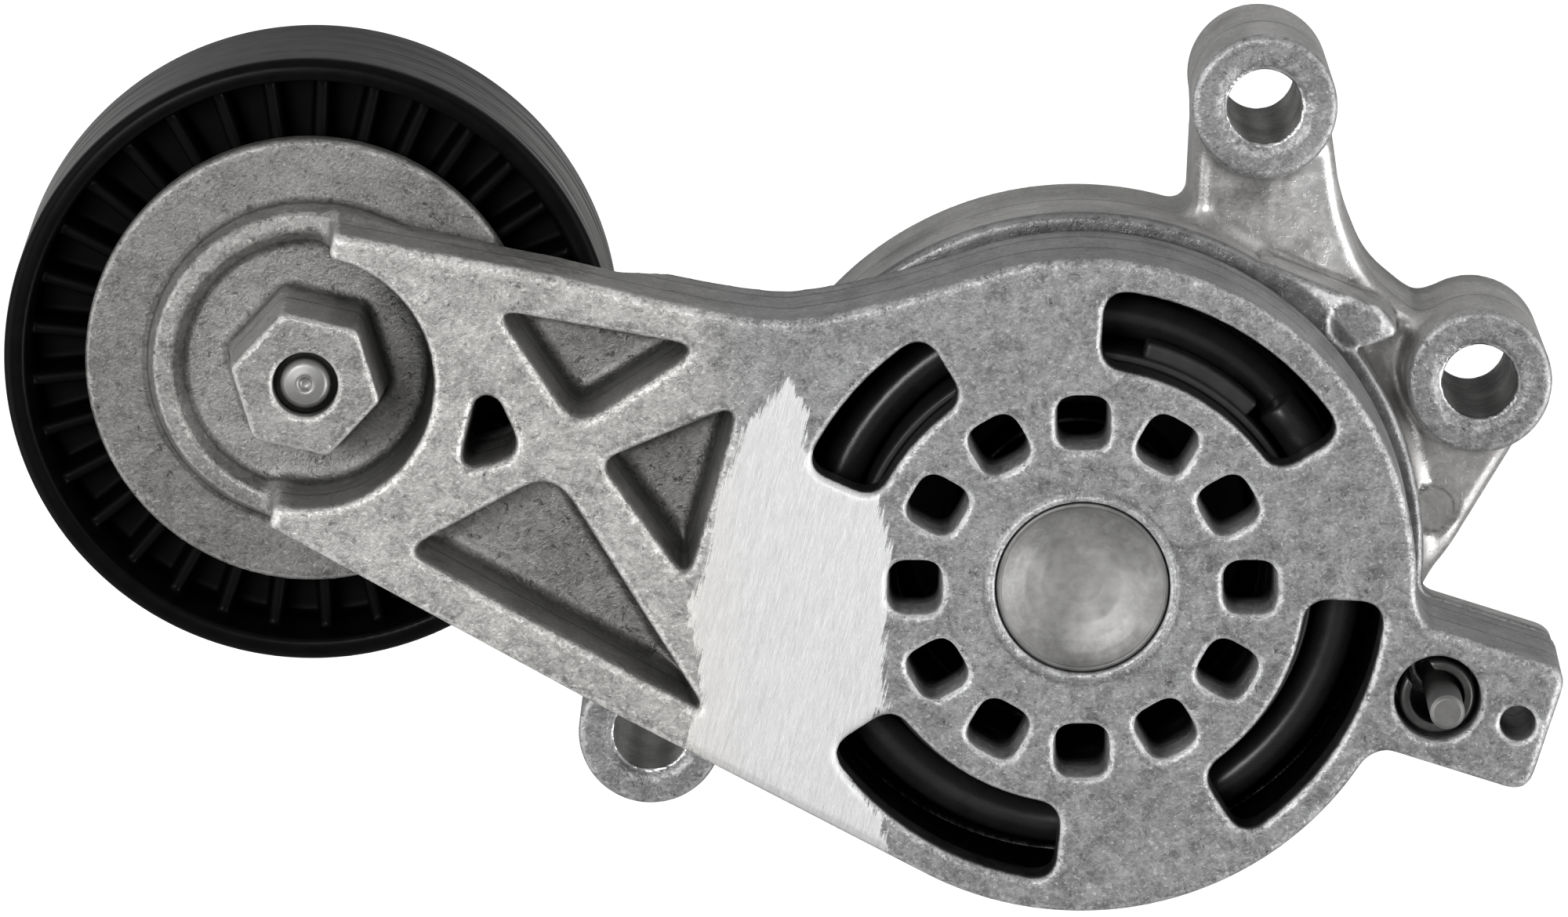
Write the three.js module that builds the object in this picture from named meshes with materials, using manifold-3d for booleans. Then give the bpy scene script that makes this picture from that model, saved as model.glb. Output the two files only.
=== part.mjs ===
// Serpentine belt tensioner: a cast base with three bolt bosses, a spring-loaded
// cast arm that swings on a pivot pin, and a smooth idler pulley on a ball bearing.
// Millimetres. +Z runs along the pivot axis towards the front of the arm, and Z = 0
// is the plane of the base's back faces. The pivot axis passes through the origin.

import * as THREE from 'three';
import { mergeVertices } from 'three/addons/utils/BufferGeometryUtils.js';
import Module from 'manifold-3d';

const wasm = await Module();
wasm.setup();

// ---------------------------------------------------------------- driving dimensions

const GAP = 0.3; // between touching pieces
const FACE_Z = 43.5; // front face of the arm
const CUT = 1; // how far a cutter runs past the face that it cuts
const ROOT = 0.4; // how far a joined wall or rib runs into the one that carries it
const SIDES = { large: 56, small: 36, bore: 24, pin: 16 }; // of the turned solids

const ARM = {
  discR: 37.95,
  edge: 0.9, // bevel around the front face
  skirtZ: 26.3,
  ceilingZ: 38.5,
  cavityR: 34.5,
  hubR: 13,
  hubZ: 12.6,
  boreR: 9.3,
  seatZ: 38,
  innerSkirtIn: 21.2,
  innerSkirtOut: 23.4,
  innerSkirtZ: 22.5,
  bodyZ: 26.6,
  pocketDepth: 10.8,
};
const HEX = {
  acrossFlats: 15,
  draft: 0.9, // growth of the corner radius at the foot
  topZ: 44.3,
  floorZ: 31.7,
  mouthR: 3.7,
  mouthDepth: 2.6,
  cornerAngle: 107,
};
const RECESS_R = 14.6; // around the hexagon, room for a wrench
const FLANGE = {
  r: 25.7,
  backZ: 27,
  frontZ: 30.3,
  shoulderR: 10.6, // clamps the bearing's inner ring
  collarIn: 16,
  collarOut: 18,
  collarZ: 33.4,
};
const SLOT = { rIn: 25.5, rOut: 34.4, corner: 2.4 };
const SLOT_SPANS = [[121.5, 156.5], [31, 86], [-58, -3], [-147, -95]];
const WINDOW = { count: 12, r: 19.05, size: 5.8, corner: 1.6 };

const TAB = { angle: -17.7, end: 55.7, width: 15, corner: 2.6, armZ: 26.8 };
const TAB_PIN_HOLE = { along: 42.5, r: 4.91 };
const TAB_LOCK_HOLE = { along: 52.1, r: 2.02 };

const BASE = {
  rimR: 39.9,
  rimEdge: 0.6,
  backR: 38.7,
  rimZ: 25,
  floorZ: 6,
  cavityR: 34.6,
  towerR: 13.5,
  towerZ: 11,
  ringIn: 20.6,
  ringOut: 23.3,
  ringZ: 20,
  flangeZ: 17,
  tabBackZ: 20.2,
  pinHoleR: 2.4,
};
const BOSS = { frontR: 8.4, backR: 8.1, z: 24.1, boreR: 4.3, sinkR: 5.5, sinkDepth: 0.9 };
const BOSSES = [[21.05, 51.94], [46, 19.9], [-49.3, -21.5]];

const PIVOT = {
  shankR: 7,
  headR: 9.6,
  headZ: 40,
  headTopZ: 43,
  dish: 1.3, // depth of the hollow in the head
  tailR: 8.8,
  tailThick: 2.7,
};
const SLEEVE = { outR: 26.4, lowZ: 7.8 }; // between the base's ring and the spring
const SEAT = { inR: 26.3, topZ: 7.7 }; // under the spring
const SEAL = { inR: 35, outR: 37.3 }; // between the base's rim and the arm's skirt

const PULLEY = {
  x: -88.06,
  y: 23.65,
  r: 35,
  edge: 1, // bevel of the belt face
  backZ: 6,
  frontZ: 30.6,
  rimIn: 32.4,
  hubIn: 20.3,
  hubOut: 22.6,
  hubBackZ: 11.6,
  hubFrontZ: 25,
  webZ: 17.2,
  webThick: 2.4,
  ribs: 33,
  ribThick: 1,
  ribFrontZ: 26.2,
  ribBackZ: 9.5,
};
const BEARING = {
  midZ: 18.3,
  halfWidth: 6,
  boreR: 8.5,
  outR: 20,
  pitchR: 14.25,
  ballR: 3.37,
  balls: 8,
  innerLandR: 12,
  outerLandR: 16.6,
  grooveR: 3.6,
  sealThick: 1,
  sealSink: 0.3, // below the ring faces
};
const CAGE = { halfWidth: 1, back: 4.3, front: 1.4, clearance: 0.25 };
const BOLT = {
  shankR: 3.85,
  shoulderDepth: 3.2, // from the hexagon's face down to where the tip begins
  tipR: 2.9,
  tipDepth: 0.7,
  washerR: 8.2,
  washerThick: 1,
  flatsR: 6.5,
  headZ: 4.6,
  headTopZ: 10.3,
};
const SHIELD = { bendR: 11, rimR: 17.5, dish: 1.2 };

const SPRING = {
  meanR: 29.6,
  wireR: 2.5,
  turns: 5,
  stepsPerTurn: 18,
  startAngle: 42,
  lowZ: 10.6,
  highZ: 35.6,
};

const SPRING_PIN = { rIn: 3, rOut: 4.3, slit: 3, slitAngle: 125, slitLowZ: 20.5, sink: 1 };
const LOCK_PIN = { along: 43.3, r: 2, tipR: 1.5, lowZ: 27.6, topZ: 49.5, chamfer: 0.3 };

// ------------------------------------------------------------------------- materials

function finish(color, roughness, metalness) {
  return new THREE.MeshStandardMaterial({ color, roughness, metalness });
}

const MATERIALS = {
  castAluminium: finish(0x9b9a98, 0.5, 0.8),
  bearingSteel: finish(0xb9babc, 0.25, 1),
  darkSteel: finish(0x55565a, 0.4, 1),
  springSteel: finish(0x17181a, 0.35, 0.6),
  blackNylon: finish(0x141416, 0.35, 0),
  sealRubber: finish(0x1d1e20, 0.7, 0),
  bushPolymer: finish(0x3a3a38, 0.55, 0),
  cagePolymer: finish(0xb9a27a, 0.6, 0),
};

// --------------------------------------------------------------------- solid helpers

const radians = THREE.MathUtils.degToRad;

// A closed three.js geometry as a solid that can be joined and cut.
function solidOf(geometry) {
  const bare = geometry.clone();
  bare.deleteAttribute('normal');
  bare.deleteAttribute('uv');
  const merged = mergeVertices(bare, 1e-4);
  const index = merged.index.array;
  const triVerts = [];
  for (let i = 0; i < index.length; i += 3) {
    const [a, b, c] = [index[i], index[i + 1], index[i + 2]];
    if (a !== b && b !== c && c !== a) triVerts.push(a, b, c);
  }
  return new wasm.Manifold(new wasm.Mesh({
    numProp: 3,
    vertProperties: merged.attributes.position.array,
    triVerts: new Uint32Array(triVerts),
  }));
}

function geometryOf(solid) {
  const { vertProperties, triVerts } = solid.getMesh();
  return new THREE.BufferGeometry()
    .setAttribute('position', new THREE.BufferAttribute(vertProperties, 3))
    .setIndex(new THREE.BufferAttribute(triVerts, 1));
}

function join(solids) {
  return solids.reduce((all, one) => all.add(one));
}

function cut(solid, cutters) {
  return cutters.reduce((left, cutter) => left.subtract(cutter), solid);
}

// An outline in X and Y, extruded from lowZ to highZ.
function prism(shape, lowZ, highZ, curveSegments = 12) {
  const options = { depth: highZ - lowZ, bevelEnabled: false, curveSegments };
  return solidOf(new THREE.ExtrudeGeometry(shape, options).translate(0, 0, lowZ));
}

// A profile of [radius, z] points turned about a vertical axis through x, y.
function turned(profile, segments = SIDES.small, x = 0, y = 0) {
  const points = profile.map(([r, z]) => new THREE.Vector2(r, z));
  const geometry = new THREE.LatheGeometry(points, segments);
  return solidOf(geometry.rotateX(Math.PI / 2).translate(x, y, 0));
}

function disc(r, lowZ, highZ, segments = SIDES.small, x = 0, y = 0) {
  return turned([[0, lowZ], [r, lowZ], [r, highZ], [0, highZ]], segments, x, y);
}

// A round ring, whose profile closes on itself.
function ring(rIn, rOut, lowZ, highZ, segments = SIDES.small, x = 0, y = 0) {
  const corners = [[rIn, lowZ], [rOut, lowZ], [rOut, highZ], [rIn, highZ], [rIn, lowZ]];
  return turned(corners, segments, x, y);
}

// A large disc with a bevel around its front face.
function bevelled(backR, r, lowZ, highZ, bevel) {
  const profile = [[0, lowZ], [backR, lowZ], [r, highZ - bevel], [r - bevel, highZ], [0, highZ]];
  return turned(profile, SIDES.large);
}

function polar(r, degrees) {
  return [r * Math.cos(radians(degrees)), r * Math.sin(radians(degrees))];
}

// A polygon whose corners are rounded: each point is [x, y, corner size].
function roundedShape(points) {
  const shape = new THREE.Shape();
  const count = points.length;
  points.forEach(([x, y, size = 0], i) => {
    const here = new THREE.Vector2(x, y);
    const before = new THREE.Vector2(...points[(i + count - 1) % count]);
    const after = new THREE.Vector2(...points[(i + 1) % count]);
    const start = here.clone().add(before.sub(here).setLength(size));
    const end = here.clone().add(after.sub(here).setLength(size));
    if (i === 0) shape.moveTo(start.x, start.y);
    else shape.lineTo(start.x, start.y);
    if (size > 0) shape.quadraticCurveTo(x, y, end.x, end.y);
  });
  shape.closePath();
  return shape;
}

// A slot along a circle about the origin, with rounded corners.
function arcSlot({ rIn, rOut, corner }, fromDegrees, toDegrees) {
  const steps = 7;
  const turnIn = THREE.MathUtils.radToDeg(corner / rIn);
  const turnOut = THREE.MathUtils.radToDeg(corner / rOut);
  const shape = new THREE.Shape();
  shape.moveTo(...polar(rOut, fromDegrees + turnOut));
  for (let i = 1; i <= steps; i++) {
    const part = i / steps;
    const span = toDegrees - fromDegrees - 2 * turnOut;
    shape.lineTo(...polar(rOut, fromDegrees + turnOut + span * part));
  }
  shape.quadraticCurveTo(...polar(rOut, toDegrees), ...polar(rOut - corner, toDegrees));
  shape.lineTo(...polar(rIn + corner, toDegrees));
  shape.quadraticCurveTo(...polar(rIn, toDegrees), ...polar(rIn, toDegrees - turnIn));
  for (let i = 1; i <= steps; i++) {
    const part = i / steps;
    const span = toDegrees - fromDegrees - 2 * turnIn;
    shape.lineTo(...polar(rIn, toDegrees - turnIn - span * part));
  }
  shape.quadraticCurveTo(...polar(rIn, fromDegrees), ...polar(rIn + corner, fromDegrees));
  shape.lineTo(...polar(rOut - corner, fromDegrees));
  shape.quadraticCurveTo(...polar(rOut, fromDegrees), ...polar(rOut, fromDegrees + turnOut));
  return shape;
}

// A point on the tabs, given along and across the line from the pivot through them.
function onTab(along, across = 0) {
  const [x, y] = polar(along, TAB.angle);
  const [sideX, sideY] = polar(across, TAB.angle + 90);
  return [x + sideX, y + sideY];
}

function tabShape() {
  const half = TAB.width / 2;
  const rootAlong = 30;
  return roundedShape([
    [...onTab(rootAlong, -half - 2)],
    [...onTab(ARM.discR - 1.5, -half), 2],
    [...onTab(TAB.end, -half), TAB.corner],
    [...onTab(TAB.end, half), TAB.corner],
    [...onTab(ARM.discR, half), 2],
    [...onTab(rootAlong, half + 4)],
  ]);
}

// ------------------------------------------------------------------------------- base

function flangeShapes() {
  const upper = roundedShape([
    [12.8, 30],
    [13, 52],
    [29.1, 51],
    [30.4, 38.5, 3],
    [33.6, 31.4, 3],
    [44, 27.5],
    [53.4, 16],
    [43, -1.5, 2],
    [36, -10],
  ]);
  const lower = roundedShape([[-54, -14.4], [-47.5, -29.6], [-30, -21.8], [-34, -6]]);
  return [upper, lower];
}

function baseBosses() {
  return BOSSES.map(([x, y]) => turned(
    [[0, 0], [BOSS.backR, 0], [BOSS.frontR, BOSS.z], [0, BOSS.z]], SIDES.small, x, y));
}

function bossBores() {
  const lowZ = BOSS.z - BOSS.sinkDepth;
  return BOSSES.map(([x, y]) => turned([
    [0, -CUT],
    [BOSS.boreR, -CUT],
    [BOSS.boreR, lowZ],
    [BOSS.sinkR, BOSS.z],
    [BOSS.sinkR, BOSS.z + CUT],
    [0, BOSS.z + CUT],
  ], SIDES.bore, x, y));
}

// The lug on the rim, and the thin tab under the arm's tab.
function baseLugs() {
  const lug = roundedShape([[21, 33.8], [35.2, 28.1, 1.5], [36.8, 25.4, 1.5], [31.6, 24]]);
  return [
    prism(lug, BASE.flangeZ - 2, BASE.rimZ),
    prism(tabShape(), BASE.tabBackZ, BASE.rimZ, 4),
  ];
}

function baseHousing() {
  const body = join([
    bevelled(BASE.backR, BASE.rimR, 0, BASE.rimZ, BASE.rimEdge),
    ...flangeShapes().map((shape) => prism(shape, 0, BASE.flangeZ, 4)),
    ...baseBosses(),
    ...baseLugs(),
  ]);
  const cup = ring(BASE.ringOut, BASE.cavityR, BASE.floorZ, BASE.rimZ + CUT, SIDES.large);
  const core = disc(BASE.ringIn, BASE.floorZ, BASE.rimZ + CUT);
  const overRing = ring(BASE.ringIn - CUT, BASE.ringOut + CUT, BASE.ringZ, BASE.rimZ + CUT);
  const hollowed = cut(body, [cup, core, overRing]);
  const tower = disc(BASE.towerR, BASE.floorZ - CUT, BASE.towerZ);
  const pinHole = onTab(LOCK_PIN.along);
  const lockHole = onTab(TAB_LOCK_HOLE.along);
  return cut(hollowed.add(tower), [
    ...bossBores(),
    disc(PIVOT.shankR + GAP, -CUT, BASE.towerZ + CUT),
    disc(PIVOT.tailR + GAP, -CUT, PIVOT.tailThick + GAP),
    disc(BASE.pinHoleR, BASE.tabBackZ - CUT, BASE.rimZ + CUT, SIDES.pin, ...pinHole),
    disc(TAB_LOCK_HOLE.r, BASE.tabBackZ - CUT, BASE.rimZ + CUT, SIDES.pin, ...lockHole),
  ]);
}

// -------------------------------------------------------------------------------- arm

// The arm's beam: a straight lower edge tangent to the disc, and an upper edge that
// dips before it meets the disc.
function beamShape() {
  const shape = new THREE.Shape();
  shape.moveTo(-92.3, 7);
  shape.lineTo(-55, -13.8);
  shape.lineTo(...polar(ARM.discR, -118.6));
  shape.lineTo(0, 0);
  shape.lineTo(...polar(ARM.discR, 108));
  shape.quadraticCurveTo(-24, 31.9, -33, 30.9);
  shape.quadraticCurveTo(-39, 30.6, -60, 36);
  shape.lineTo(-84.7, 40.8);
  shape.closePath();
  return shape;
}

function armPockets() {
  const floorZ = FACE_Z - ARM.pocketDepth;
  const blind = [
    [[-66.6, 32.2, 2.5], [-43, 27.8, 3], [-57.5, 18.6, 3]],
    [[-54.8, 14.6, 2], [-39, 21.2, 3], [-44.8, 0.6, 3]],
    [[-77, 4.2, 3], [-60, 13.4, 3], [-42.2, -15, 4]],
  ];
  const through = [[-70.8, 13.5, 2.5], [-67.6, 23, 2.5], [-63.4, 15.5, 2.5]];
  return [
    ...blind.map((points) => prism(roundedShape(points), floorZ, FACE_Z + CUT, 3)),
    prism(roundedShape(through), ARM.bodyZ - CUT, FACE_Z + CUT, 3),
  ];
}

function armWindows() {
  const half = WINDOW.size / 2;
  const { corner } = WINDOW;
  const square = roundedShape([
    [-half, -half, corner], [half, -half, corner], [half, half, corner], [-half, half, corner],
  ]);
  const cutter = prism(square, ARM.ceilingZ - CUT, FACE_Z + CUT, 2);
  return Array.from({ length: WINDOW.count }, (_, i) => cutter
    .translate([WINDOW.r, 0, 0])
    .rotate([0, 0, i * 360 / WINDOW.count]));
}

function armSlots() {
  return SLOT_SPANS.map(([from, to]) => prism(
    arcSlot(SLOT, from, to), ARM.ceilingZ - CUT, FACE_Z + CUT, 3));
}

// The cover end: a disc with a skirt, a pivot hub and an inner friction skirt.
function armCover() {
  const shell = bevelled(ARM.discR, ARM.discR, ARM.skirtZ, FACE_Z, ARM.edge);
  const tab = prism(tabShape(), TAB.armZ, FACE_Z, 4);
  const hollow = disc(ARM.cavityR, ARM.skirtZ - CUT, ARM.ceilingZ, SIDES.large);
  const hub = disc(ARM.hubR, ARM.hubZ, ARM.ceilingZ + CUT);
  const skirt = ring(ARM.innerSkirtIn, ARM.innerSkirtOut, ARM.innerSkirtZ, ARM.ceilingZ + CUT);
  const beam = cut(prism(beamShape(), ARM.bodyZ, FACE_Z), pulleySpace());
  return join([cut(join([shell, tab, beam]), [hollow]), hub, skirt]);
}

// The space that the beam leaves for the pulley and for the wrench.
function pulleySpace() {
  return [
    disc(PULLEY.r + 1.6, ARM.bodyZ - CUT, PULLEY.frontZ + 0.8, SIDES.large, PULLEY.x, PULLEY.y),
    disc(RECESS_R, ARM.bodyZ - CUT, FACE_Z + CUT, SIDES.small, PULLEY.x, PULLEY.y),
  ];
}

// The pulley end: a dust flange with a collar, the wrench hexagon and the bearing seat.
function armPulleyEnd() {
  const flange = turned([
    [0, BEARING.midZ + BEARING.halfWidth + GAP],
    [FLANGE.shoulderR, BEARING.midZ + BEARING.halfWidth + GAP],
    [FLANGE.shoulderR, FLANGE.backZ],
    [FLANGE.r, FLANGE.backZ],
    [FLANGE.r, FLANGE.frontZ],
    [FLANGE.collarOut, FLANGE.frontZ + 0.5],
    [FLANGE.collarIn, FLANGE.collarZ],
    [RECESS_R, FLANGE.collarZ],
    [RECESS_R - 0.5, HEX.floorZ],
    [0, HEX.floorZ],
  ], SIDES.large, PULLEY.x, PULLEY.y);
  const cornerR = HEX.acrossFlats / Math.sqrt(3);
  const height = HEX.topZ - HEX.floorZ + CUT;
  const hexagon = new THREE.CylinderGeometry(cornerR, cornerR + HEX.draft, height, 6)
    .rotateX(Math.PI / 2)
    .rotateZ(radians(HEX.cornerAngle + 90))
    .translate(PULLEY.x, PULLEY.y, HEX.topZ - height / 2);
  return flange.add(solidOf(hexagon));
}

function tensionerArm() {
  const pinHole = onTab(TAB_PIN_HOLE.along);
  const lockHole = onTab(TAB_LOCK_HOLE.along);
  const threadTopZ = HEX.topZ - HEX.mouthDepth;
  const boltR = BOLT.shankR + GAP;
  const boltHole = turned([
    [0, BEARING.midZ],
    [boltR, BEARING.midZ],
    [boltR, threadTopZ],
    [HEX.mouthR, threadTopZ],
    [HEX.mouthR, HEX.topZ + CUT],
    [0, HEX.topZ + CUT],
  ], SIDES.bore, PULLEY.x, PULLEY.y);
  const pivotBore = turned([
    [0, ARM.hubZ - CUT],
    [ARM.boreR, ARM.hubZ - CUT],
    [ARM.boreR, ARM.seatZ],
    [PIVOT.headR + GAP, ARM.seatZ],
    [PIVOT.headR + GAP, FACE_Z + CUT],
    [0, FACE_Z + CUT],
  ]);
  return cut(join([armCover(), armPulleyEnd()]), [
    ...armPockets(),
    ...armWindows(),
    ...armSlots(),
    pivotBore,
    boltHole,
    disc(TAB_PIN_HOLE.r, TAB.armZ - CUT, FACE_Z + CUT, SIDES.bore, ...pinHole),
    disc(TAB_LOCK_HOLE.r, TAB.armZ - CUT, FACE_Z + CUT, SIDES.pin, ...lockHole),
  ]);
}

// --------------------------------------------------------------- pivot and spring pack

// The pin that is fixed in the base: a flush tail at the back, a dished head in front.
function pivotPin() {
  return turned([
    [0, 0],
    [PIVOT.tailR, 0],
    [PIVOT.tailR, PIVOT.tailThick],
    [PIVOT.shankR, PIVOT.tailThick],
    [PIVOT.shankR, PIVOT.headZ],
    [PIVOT.headR, PIVOT.headZ],
    [PIVOT.headR, PIVOT.headTopZ - 0.3],
    [PIVOT.headR - 0.8, PIVOT.headTopZ],
    [PIVOT.headR - 2.2, PIVOT.headTopZ - PIVOT.dish + 0.4],
    [0, PIVOT.headTopZ - PIVOT.dish],
  ]);
}

// The parts that sit around the pin, from the bush out to the seal at the skirt.
function pivotParts() {
  const boreR = PIVOT.shankR + GAP;
  return {
    pivot_bushing: ring(boreR, ARM.boreR - GAP, ARM.hubZ + GAP, ARM.seatZ - GAP),
    thrust_washer: ring(boreR, ARM.hubR - GAP, BASE.towerZ + GAP, ARM.hubZ - GAP),
    retaining_washer: ring(boreR, PIVOT.headR, ARM.seatZ + GAP, PIVOT.headZ - GAP),
    damper_sleeve: ring(
      ARM.innerSkirtOut + GAP, SLEEVE.outR, SLEEVE.lowZ, ARM.ceilingZ - GAP),
    spring_seat: ring(SEAT.inR, BASE.cavityR - GAP, BASE.floorZ + GAP, SEAT.topZ),
    dust_seal: ring(SEAL.inR, SEAL.outR, BASE.rimZ + GAP, ARM.skirtZ - GAP),
  };
}

// A plain helix of round wire, whose ends are cut square.
function torsionSpring() {
  class Helix extends THREE.Curve {
    getPoint(t, target = new THREE.Vector3()) {
      const angle = radians(SPRING.startAngle + 360 * SPRING.turns * t);
      const x = SPRING.meanR * Math.cos(angle);
      const y = SPRING.meanR * Math.sin(angle);
      return target.set(x, y, THREE.MathUtils.lerp(SPRING.lowZ, SPRING.highZ, t));
    }
  }
  const wire = new THREE.Shape();
  wire.absarc(0, 0, SPRING.wireR, 0, 2 * Math.PI);
  const steps = SPRING.turns * SPRING.stepsPerTurn;
  const options = { steps, extrudePath: new Helix(), curveSegments: 3 };
  return solidOf(new THREE.ExtrudeGeometry(wire, options));
}

// ------------------------------------------------------------------ pulley and bearing

// A belt rim and a hub, joined by a thin web and a ring of straight ribs.
function pulley() {
  const { x, y, hubIn, hubOut, hubBackZ, hubFrontZ } = PULLEY;
  const webTopZ = PULLEY.webZ + PULLEY.webThick;
  const { rimIn, r, edge, backZ, frontZ } = PULLEY;
  const rim = [
    [rimIn, backZ], [r - edge, backZ], [r, backZ + edge],
    [r, frontZ - edge], [r - edge, frontZ], [rimIn, frontZ], [rimIn, backZ],
  ];
  const body = join([
    turned(rim, SIDES.large, x, y),
    ring(hubOut - ROOT, rimIn + ROOT, PULLEY.webZ, webTopZ, SIDES.small, x, y),
    ring(hubIn, hubOut, hubBackZ, hubFrontZ, SIDES.small, x, y),
  ]);
  const length = rimIn - hubOut + 2 * ROOT;
  const height = PULLEY.ribFrontZ - PULLEY.ribBackZ;
  const rib = solidOf(new THREE.BoxGeometry(length, PULLEY.ribThick, height)
    .translate((rimIn + hubOut) / 2, 0, (PULLEY.ribFrontZ + PULLEY.ribBackZ) / 2));
  const ribs = Array.from({ length: PULLEY.ribs }, (_, i) => rib
    .rotate([0, 0, i * 360 / PULLEY.ribs])
    .translate([x, y, 0]));
  return join([body, ...ribs]);
}

// Points of the ball groove, from one side of the ring to the other.
function groove(landR, startSign) {
  const { midZ, pitchR, grooveR } = BEARING;
  const reach = Math.acos(Math.abs(landR - pitchR) / grooveR);
  const side = Math.sign(landR - pitchR);
  const steps = 4;
  return Array.from({ length: steps + 1 }, (_, i) => {
    const angle = startSign * reach * (1 - 2 * i / steps);
    return [pitchR + side * grooveR * Math.cos(angle), midZ + grooveR * Math.sin(angle)];
  });
}

// The two rings with their ball grooves, and the two seals between them.
function bearingRings() {
  const { x, y } = PULLEY;
  const { midZ, halfWidth, boreR, outR, innerLandR, outerLandR } = BEARING;
  const [lowZ, highZ] = [midZ - halfWidth, midZ + halfWidth];
  const inner = [
    [boreR, lowZ], [innerLandR, lowZ], ...groove(innerLandR, -1),
    [innerLandR, highZ], [boreR, highZ], [boreR, lowZ],
  ];
  const outer = [
    [outerLandR, lowZ], [outR, lowZ], [outR, highZ], [outerLandR, highZ],
    ...groove(outerLandR, 1), [outerLandR, lowZ],
  ];
  const sealIn = innerLandR + GAP;
  const sealOut = outerLandR - 0.1;
  const { sealThick, sealSink } = BEARING;
  const [frontZ, rearZ] = [highZ - sealSink, lowZ + sealSink];
  return {
    bearing_inner_ring: turned(inner, SIDES.small, x, y),
    bearing_outer_ring: turned(outer, SIDES.small, x, y),
    bearing_seal_front: ring(sealIn, sealOut, frontZ - sealThick, frontZ, SIDES.small, x, y),
    bearing_seal_rear: ring(sealIn, sealOut, rearZ, rearZ + sealThick, SIDES.small, x, y),
  };
}

function ballCentre(i) {
  const [dx, dy] = polar(BEARING.pitchR, i * 360 / BEARING.balls);
  return [PULLEY.x + dx, PULLEY.y + dy, BEARING.midZ];
}

function ball(r, i) {
  return solidOf(new THREE.SphereGeometry(r, 12, 7).translate(...ballCentre(i)));
}

// A crown cage: a ring whose pockets hold the balls from the back.
function bearingCage() {
  const { midZ, pitchR, ballR, balls } = BEARING;
  const [rIn, rOut] = [pitchR - CAGE.halfWidth, pitchR + CAGE.halfWidth];
  const [lowZ, highZ] = [midZ - CAGE.back, midZ + CAGE.front];
  const crown = ring(rIn, rOut, lowZ, highZ, SIDES.small, PULLEY.x, PULLEY.y);
  const pockets = Array.from({ length: balls }, (_, i) => ball(ballR + CAGE.clearance, i));
  return cut(crown, pockets);
}

// A flanged hexagon bolt put in from the back, with a domed tip at the front.
function pulleyBolt() {
  const { x, y } = PULLEY;
  const tipZ = HEX.topZ - BOLT.tipDepth;
  const shoulderZ = HEX.topZ - BOLT.shoulderDepth;
  const washerZ = BOLT.headTopZ - BOLT.washerThick;
  const shaft = turned([
    [0, washerZ],
    [BOLT.washerR, washerZ],
    [BOLT.washerR, BOLT.headTopZ],
    [BOLT.shankR, BOLT.headTopZ],
    [BOLT.shankR, shoulderZ],
    [BOLT.tipR, shoulderZ + 0.8],
    [BOLT.tipR, tipZ - 0.6],
    [BOLT.tipR * 0.7, tipZ],
    [0, tipZ],
  ], SIDES.bore, x, y);
  const headHeight = washerZ + 0.2 - BOLT.headZ;
  const cornerR = BOLT.flatsR * 2 / Math.sqrt(3);
  const head = new THREE.CylinderGeometry(cornerR, cornerR, headHeight, 6)
    .rotateX(Math.PI / 2)
    .translate(x, y, BOLT.headZ + headHeight / 2);
  return shaft.add(solidOf(head));
}

// What the bolt clamps together behind the arm.
function pulleyHardware() {
  const { x, y } = PULLEY;
  const boltR = BOLT.shankR + GAP;
  const lowZ = BEARING.midZ - BEARING.halfWidth;
  const highZ = BEARING.midZ + BEARING.halfWidth;
  const shieldZ = BOLT.headTopZ + GAP;
  const { bendR, rimR, dish } = SHIELD;
  const shield = [
    [boltR, shieldZ], [bendR, shieldZ], [rimR, shieldZ - dish], [rimR, shieldZ],
    [bendR, lowZ - GAP], [boltR, lowZ - GAP], [boltR, shieldZ],
  ];
  return {
    pulley_bolt: pulleyBolt(),
    bearing_spacer: ring(boltR, BEARING.boreR - GAP, lowZ, highZ, SIDES.bore, x, y),
    rear_dust_shield: turned(shield, SIDES.small, x, y),
  };
}

// ------------------------------------------------------------------------ tab hardware

// A rolled spring pin, open along one side, standing in the arm's tab.
function springPin() {
  const [x, y] = onTab(TAB_PIN_HOLE.along);
  const { rIn, rOut, slit, slitAngle, slitLowZ, sink } = SPRING_PIN;
  const tube = ring(rIn, rOut, TAB.armZ + GAP, FACE_Z - sink, SIDES.bore, x, y);
  const height = FACE_Z - slitLowZ;
  const slot = new THREE.BoxGeometry(2 * rIn, slit, height)
    .translate(rIn + 0.5, 0, slitLowZ + height / 2)
    .rotateZ(radians(slitAngle))
    .translate(x, y, 0);
  return tube.subtract(solidOf(slot));
}

// The straight pin that holds the arm for transport, pulled out towards the front.
function lockPin() {
  const { r, tipR, lowZ, topZ, chamfer } = LOCK_PIN;
  const [x, y] = onTab(LOCK_PIN.along);
  return turned([
    [0, lowZ],
    [tipR, lowZ],
    [r, lowZ + 2 * chamfer],
    [r, topZ - chamfer],
    [r - chamfer, topZ],
    [0, topZ],
  ], SIDES.pin, x, y);
}

// --------------------------------------------------------------------------- assembly

function piece(name, solid, material) {
  const mesh = new THREE.Mesh(geometryOf(solid), material);
  mesh.geometry.computeVertexNormals();
  mesh.name = name;
  return mesh;
}

function assembly(pieces, material) {
  return Object.entries(pieces).map(([name, solid]) => piece(name, solid, material[name]));
}

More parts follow.
